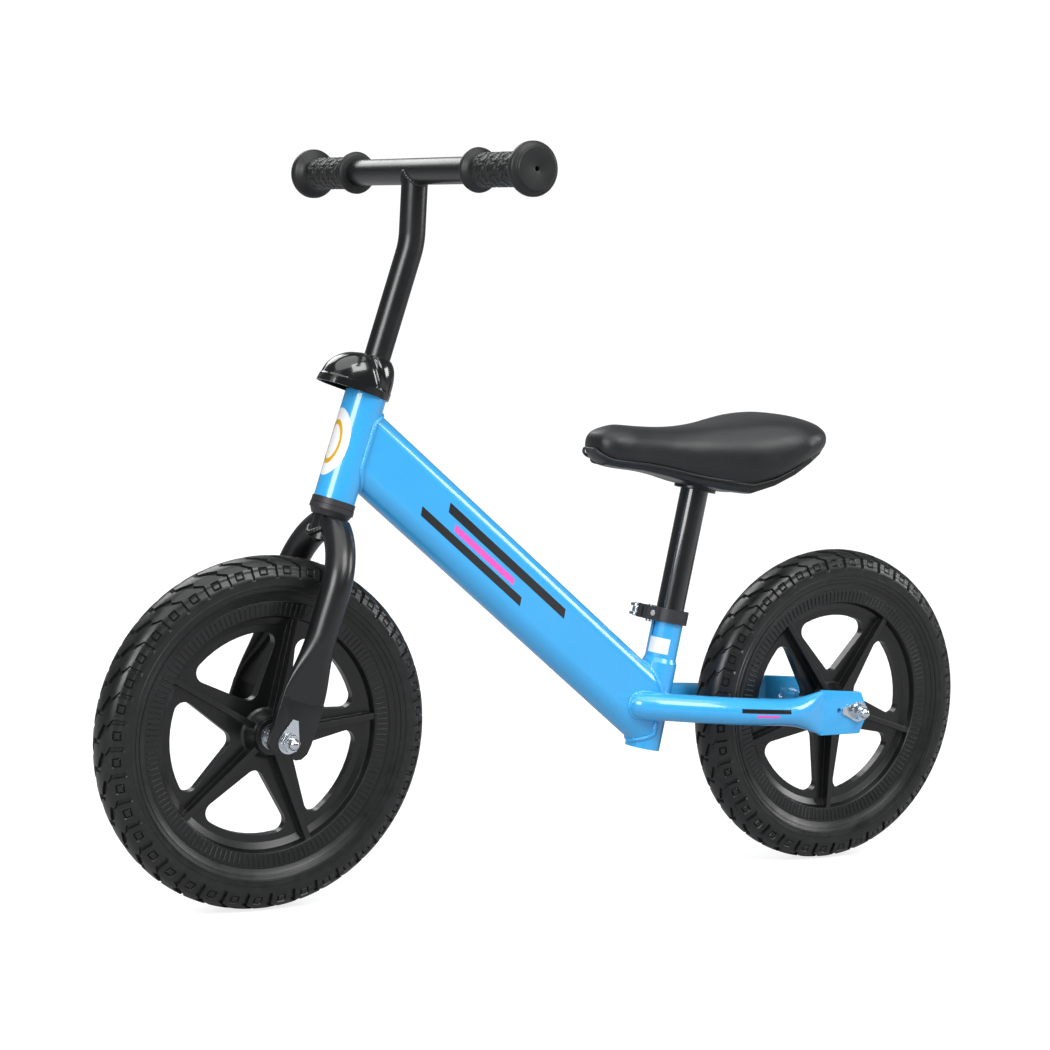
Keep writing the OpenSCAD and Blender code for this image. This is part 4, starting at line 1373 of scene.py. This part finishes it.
    def serrations(self) -> Shape:
        """Make the fine radial ribs on both flanks of the rim.

        Returns:
            All the ribs as one shape.
        """
        made: list[Shape] = []
        low, high = (99.2, 12.75), (109.6, 14.05)
        for k in range(self.ribs):
            turn = TAU * k / self.ribs
            out = np.array([math.cos(turn), 0, math.sin(turn)])
            side = np.array([-math.sin(turn), 0, math.cos(turn)])
            for hand in (1, -1):
                ends = []
                for r, y in (low, high):
                    base = out * r + np.array([0, hand * (y - 0.3), 0])
                    top = out * r + np.array([0, hand * (y + 0.75), 0])
                    ends.append(np.array([base - side * 0.85, base + side * 0.85,
                                          top + side * 0.35, top - side * 0.35]))
                ends[0][2:] += out * 0.6
                ends[1][2:] -= out * 0.6
                made.append(loft(ends))
        points = np.vstack([m.points for m in made])
        faces = [[i + 8 * n for i in f] for n, m in enumerate(made) for f in m.faces]
        return Shape(points, faces)


# ------------------------------------------------------------------ saddle


class Saddle(SubAssembly):
    """Padded vinyl saddle on a hard pan and a straight post."""

    title = "saddle"
    nose_x = -9.5
    voxel_mm = 4.5
    pressure = 4.0
    cap_mm = 2.0
    frames = 20
    inset_mm = 0.9
    welt_in = 0.80
    welt_down = 0.66
    welt_r = 1.3
    cloth_stiffness = 12

    def build(self) -> None:
        """Build the cover and its welt, and dress the pan and the post."""
        self.finish_nodes(GLOSS_ENAMEL, "seat_post")
        self.finish_nodes(ZINC_PLATE, "saddle_bolt")
        self.finish_nodes(MOULDED_NYLON, "saddle_pan")
        cover = self.piece("padded_saddle_cover", self.cushion(self.inset_mm), ROW,
                           Dress("seat", "saddle_cover", SADDLE_VINYL),
                           ["saddle_cushion"], crease_deg=60)
        self.inflate(cover)
        self.piece("saddle_edge_welt", self.welt(), ROW,
                   Dress("seat", "saddle_cover", SADDLE_VINYL), crease_deg=60)

    def stations(self) -> np.ndarray:
        """Give the smoothed stations of the saddle.

        Returns:
            Rows of x, top, lower edge and half width.
        """
        rows = [[0.8, 397, 384, 9], [4, 401.5, 378, 17], [12, 405, 372, 24],
                [26, 406, 369.5, 28.5], [50, 405, 367, 30], [76, 404.6, 362, 33],
                [100, 406, 356, 39], [124, 409, 351.5, 50], [146, 413, 349.5, 60.5],
                [166, 417, 355, 66.6], [186, 419.6, 365, 69], [204, 420, 375.5, 67],
                [220, 418, 383, 59], [232, 412, 389, 44], [238.4, 404, 393.5, 24]]
        return refine([[self.nose_x - x, *rest] for x, *rest in rows], 5)

    def outline(self, row: np.ndarray, inset: float) -> np.ndarray:
        """Make one section of the saddle.

        Args:
            row: x, top, lower edge, half width.
            inset: Millimetres inside the skin.

        Returns:
            The outline.
        """
        x, top, low, half = row
        return ring([x, 0, (top + low) / 2], [0, -1, 0], [0, 0, 1],
                    max(half - inset, 4), max((top - low) / 2 - inset, 3), 0.74, 80)

    def cushion(self, inset: float) -> Shape:
        """Make the cover's starting shape, a little inside its final skin."""
        return loft([self.outline(row, inset) for row in self.stations()])

    def welt(self) -> Shape:
        """Make the folded lower edge of the cover, a thin roll round its underside.

        Returns:
            The roll.
        """
        left = []
        for row in self.stations()[1:-1]:
            x, top, low, half = row
            left.append([x, half * self.welt_in, (top + low) / 2
                         - (top - low) / 2 * self.welt_down])
        right = [[x, -y, z] for x, y, z in left[::-1]]
        path = even_path(np.array(left + right), 2.0)
        rings = []
        for k, point in enumerate(path):
            ahead = path[(k + 1) % len(path)] - path[k - 1]
            ahead = ahead / np.linalg.norm(ahead)
            side = np.cross(ahead, [0, 0, 1])
            side = side / np.linalg.norm(side)
            rings.append(ring(point, side, np.cross(ahead, side), self.welt_r, self.welt_r,
                              1, 12))
        return loft(rings, around=True)

    def inflate(self, cover: bpy.types.Object) -> None:
        """Blow the cover up by cloth pressure, as foam fills vinyl, and smooth it.

        Args:
            cover: The starting shape.
        """
        remesh = cover.modifiers.new("even_skin", "REMESH")
        remesh.mode = "VOXEL"
        remesh.voxel_size = self.voxel_mm * MM
        apply_modifiers(cover)
        start = [v.co.copy() for v in cover.data.vertices]
        cloth = cover.modifiers.new("foam_pressure", "CLOTH")
        cloth.settings.use_pressure = True
        cloth.settings.uniform_pressure_force = self.pressure
        cloth.settings.tension_stiffness = self.cloth_stiffness
        cloth.settings.compression_stiffness = self.cloth_stiffness
        cloth.settings.bending_stiffness = 3
        cloth.settings.effector_weights.gravity = 0
        cloth.point_cache.frame_start = 1
        cloth.point_cache.frame_end = self.frames
        for frame_number in range(1, self.frames + 1):
            bpy.context.scene.frame_set(frame_number)
        apply_modifiers(cover)
        bpy.context.scene.frame_set(1)
        for vertex, rest in zip(cover.data.vertices, start):
            step = vertex.co - rest
            if step.length > self.cap_mm * MM:
                vertex.co = rest + step * (self.cap_mm * MM / step.length)
        smooth = cover.modifiers.new("even_foam", "SMOOTH")
        smooth.iterations = 6
        smooth.factor = 0.5
        round_off = cover.modifiers.new("smooth_skin", "SUBSURF")
        round_off.levels = 1
        apply_modifiers(cover)
        cover.data.shade_smooth()


# ------------------------------------------------------------------ studio


class Studio:
    """Pale paper floor, soft boxes and the camera."""

    camera_at = (1.216, 1.845, 0.520)
    target = (0.052, 0.0, 0.318)
    roll_deg = 3.11
    lens_mm = 86.45
    sensor_mm = 36.0
    floor_m = 60.0
    floor_drop_m = 0.0004
    floor_tiles = 8
    seen_strength = 1.05
    felt_strength = 0.16
    ceiling_power = 2.0
    ceiling_spread_deg = 70
    ceiling_turn_deg = (-12, 8)
    # place, side of the square face in metres, watts
    lamps = (((-0.6, 2.6, 2.6), 1.6, 60), ((2.7, 1.4, 1.5), 1.4, 58),
             ((-2.6, 1.2, 1.2), 0.9, 22), ((0.2, -2.4, 2.2), 1.6, 30))

    def build(self) -> None:
        """Set the floor, the lights, the world and the camera."""
        self.floor()
        self.world()
        for number, (at, size, watts) in enumerate(self.lamps, 1):
            self.lamp(f"soft_box_{number}", at, size, watts)
        self.ceiling()
        self.camera()

    def floor(self) -> None:
        """Lay the paper."""
        steps = np.linspace(-self.floor_m / 2, self.floor_m / 2, self.floor_tiles + 1)
        mesh = bpy.data.meshes.new("paper_floor")
        points = [(float(x), float(y), -self.floor_drop_m) for y in steps for x in steps]
        count = len(steps)
        mesh.from_pydata(points, [], [
            (r * count + c, r * count + c + 1, (r + 1) * count + c + 1, (r + 1) * count + c)
            for r in range(count - 1) for c in range(count - 1)])
        mesh.materials.append(STUDIO_PAPER.material())
        link("paper_floor", mesh)

    def world(self) -> None:
        """Make a room that looks white but throws only a little light on the bike."""
        world = bpy.data.worlds.new("white_room")
        bpy.context.scene.world = world
        world.use_nodes = True
        tree = world.node_tree
        tree.nodes.clear()
        path = add_node(tree, "ShaderNodeLightPath", {}, {})
        seen = add_node(tree, "ShaderNodeBackground",
                        {"Color": linear("#ffffff"), "Strength": self.seen_strength}, {})
        felt = add_node(tree, "ShaderNodeBackground",
                        {"Color": linear("#eef2f6"), "Strength": self.felt_strength}, {})
        both = add_node(tree, "ShaderNodeMixShader", {}, {})
        tree.links.new(path.outputs["Is Camera Ray"], both.inputs[0])
        tree.links.new(felt.outputs["Background"], both.inputs[1])
        tree.links.new(seen.outputs["Background"], both.inputs[2])
        add_node(tree, "ShaderNodeOutputWorld", {}, {"Surface": both.outputs["Shader"]})
        bpy.context.scene.view_settings.view_transform = "Standard"

    def lamp(self, name: str, at: Sequence[float], size: float, watts: float) -> None:
        """Hang one soft box that faces the bike.

        Args:
            name: Name of the lamp.
            at: Its place in metres.
            size: Side of its square face in metres.
            watts: Its power.
        """
        light = bpy.data.lights.new(name, "AREA")
        light.shape = "SQUARE"
        light.size = size
        light.energy = watts
        made = link(name, light)
        made.location = at
        aim = Vector(self.target) - Vector(at)
        made.rotation_euler = aim.to_track_quat("-Z", "Y").to_euler()

    def ceiling(self) -> None:
        """Light the whole sweep evenly from a wide bright ceiling."""
        light = bpy.data.lights.new("bright_ceiling", "SUN")
        light.energy = self.ceiling_power
        light.angle = math.radians(self.ceiling_spread_deg)
        tilt, roll = self.ceiling_turn_deg
        link("bright_ceiling", light).rotation_euler = (math.radians(tilt),
                                                        math.radians(roll), 0)

    def camera(self) -> None:
        """Place the camera and turn it about its own line of sight."""
        data = bpy.data.cameras.new("studio_camera")
        data.lens = self.lens_mm
        data.sensor_width = self.sensor_mm
        made = link("studio_camera", data)
        aim = Vector(self.target) - Vector(self.camera_at)
        turned = aim.to_track_quat("-Z", "Y").to_matrix().to_4x4()
        roll = Matrix.Rotation(math.radians(self.roll_deg), 4, "Z")
        made.matrix_world = Matrix.Translation(Vector(self.camera_at)) @ turned @ roll
        bpy.context.scene.camera = made


def main() -> None:
    """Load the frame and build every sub-assembly in order."""
    logging.basicConfig(level=logging.INFO, format="%(message)s")
    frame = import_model()
    parts = [MainFrame(frame), Fork(frame), StemCover(frame), Cockpit(frame),
             Wheel(frame, "front"), Wheel(frame, "rear"), Saddle(frame)]
    for part in parts:
        part.build()
        LOG.info("%s done", part.title)
    Studio().build()


if __name__ == "__main__":
    main()
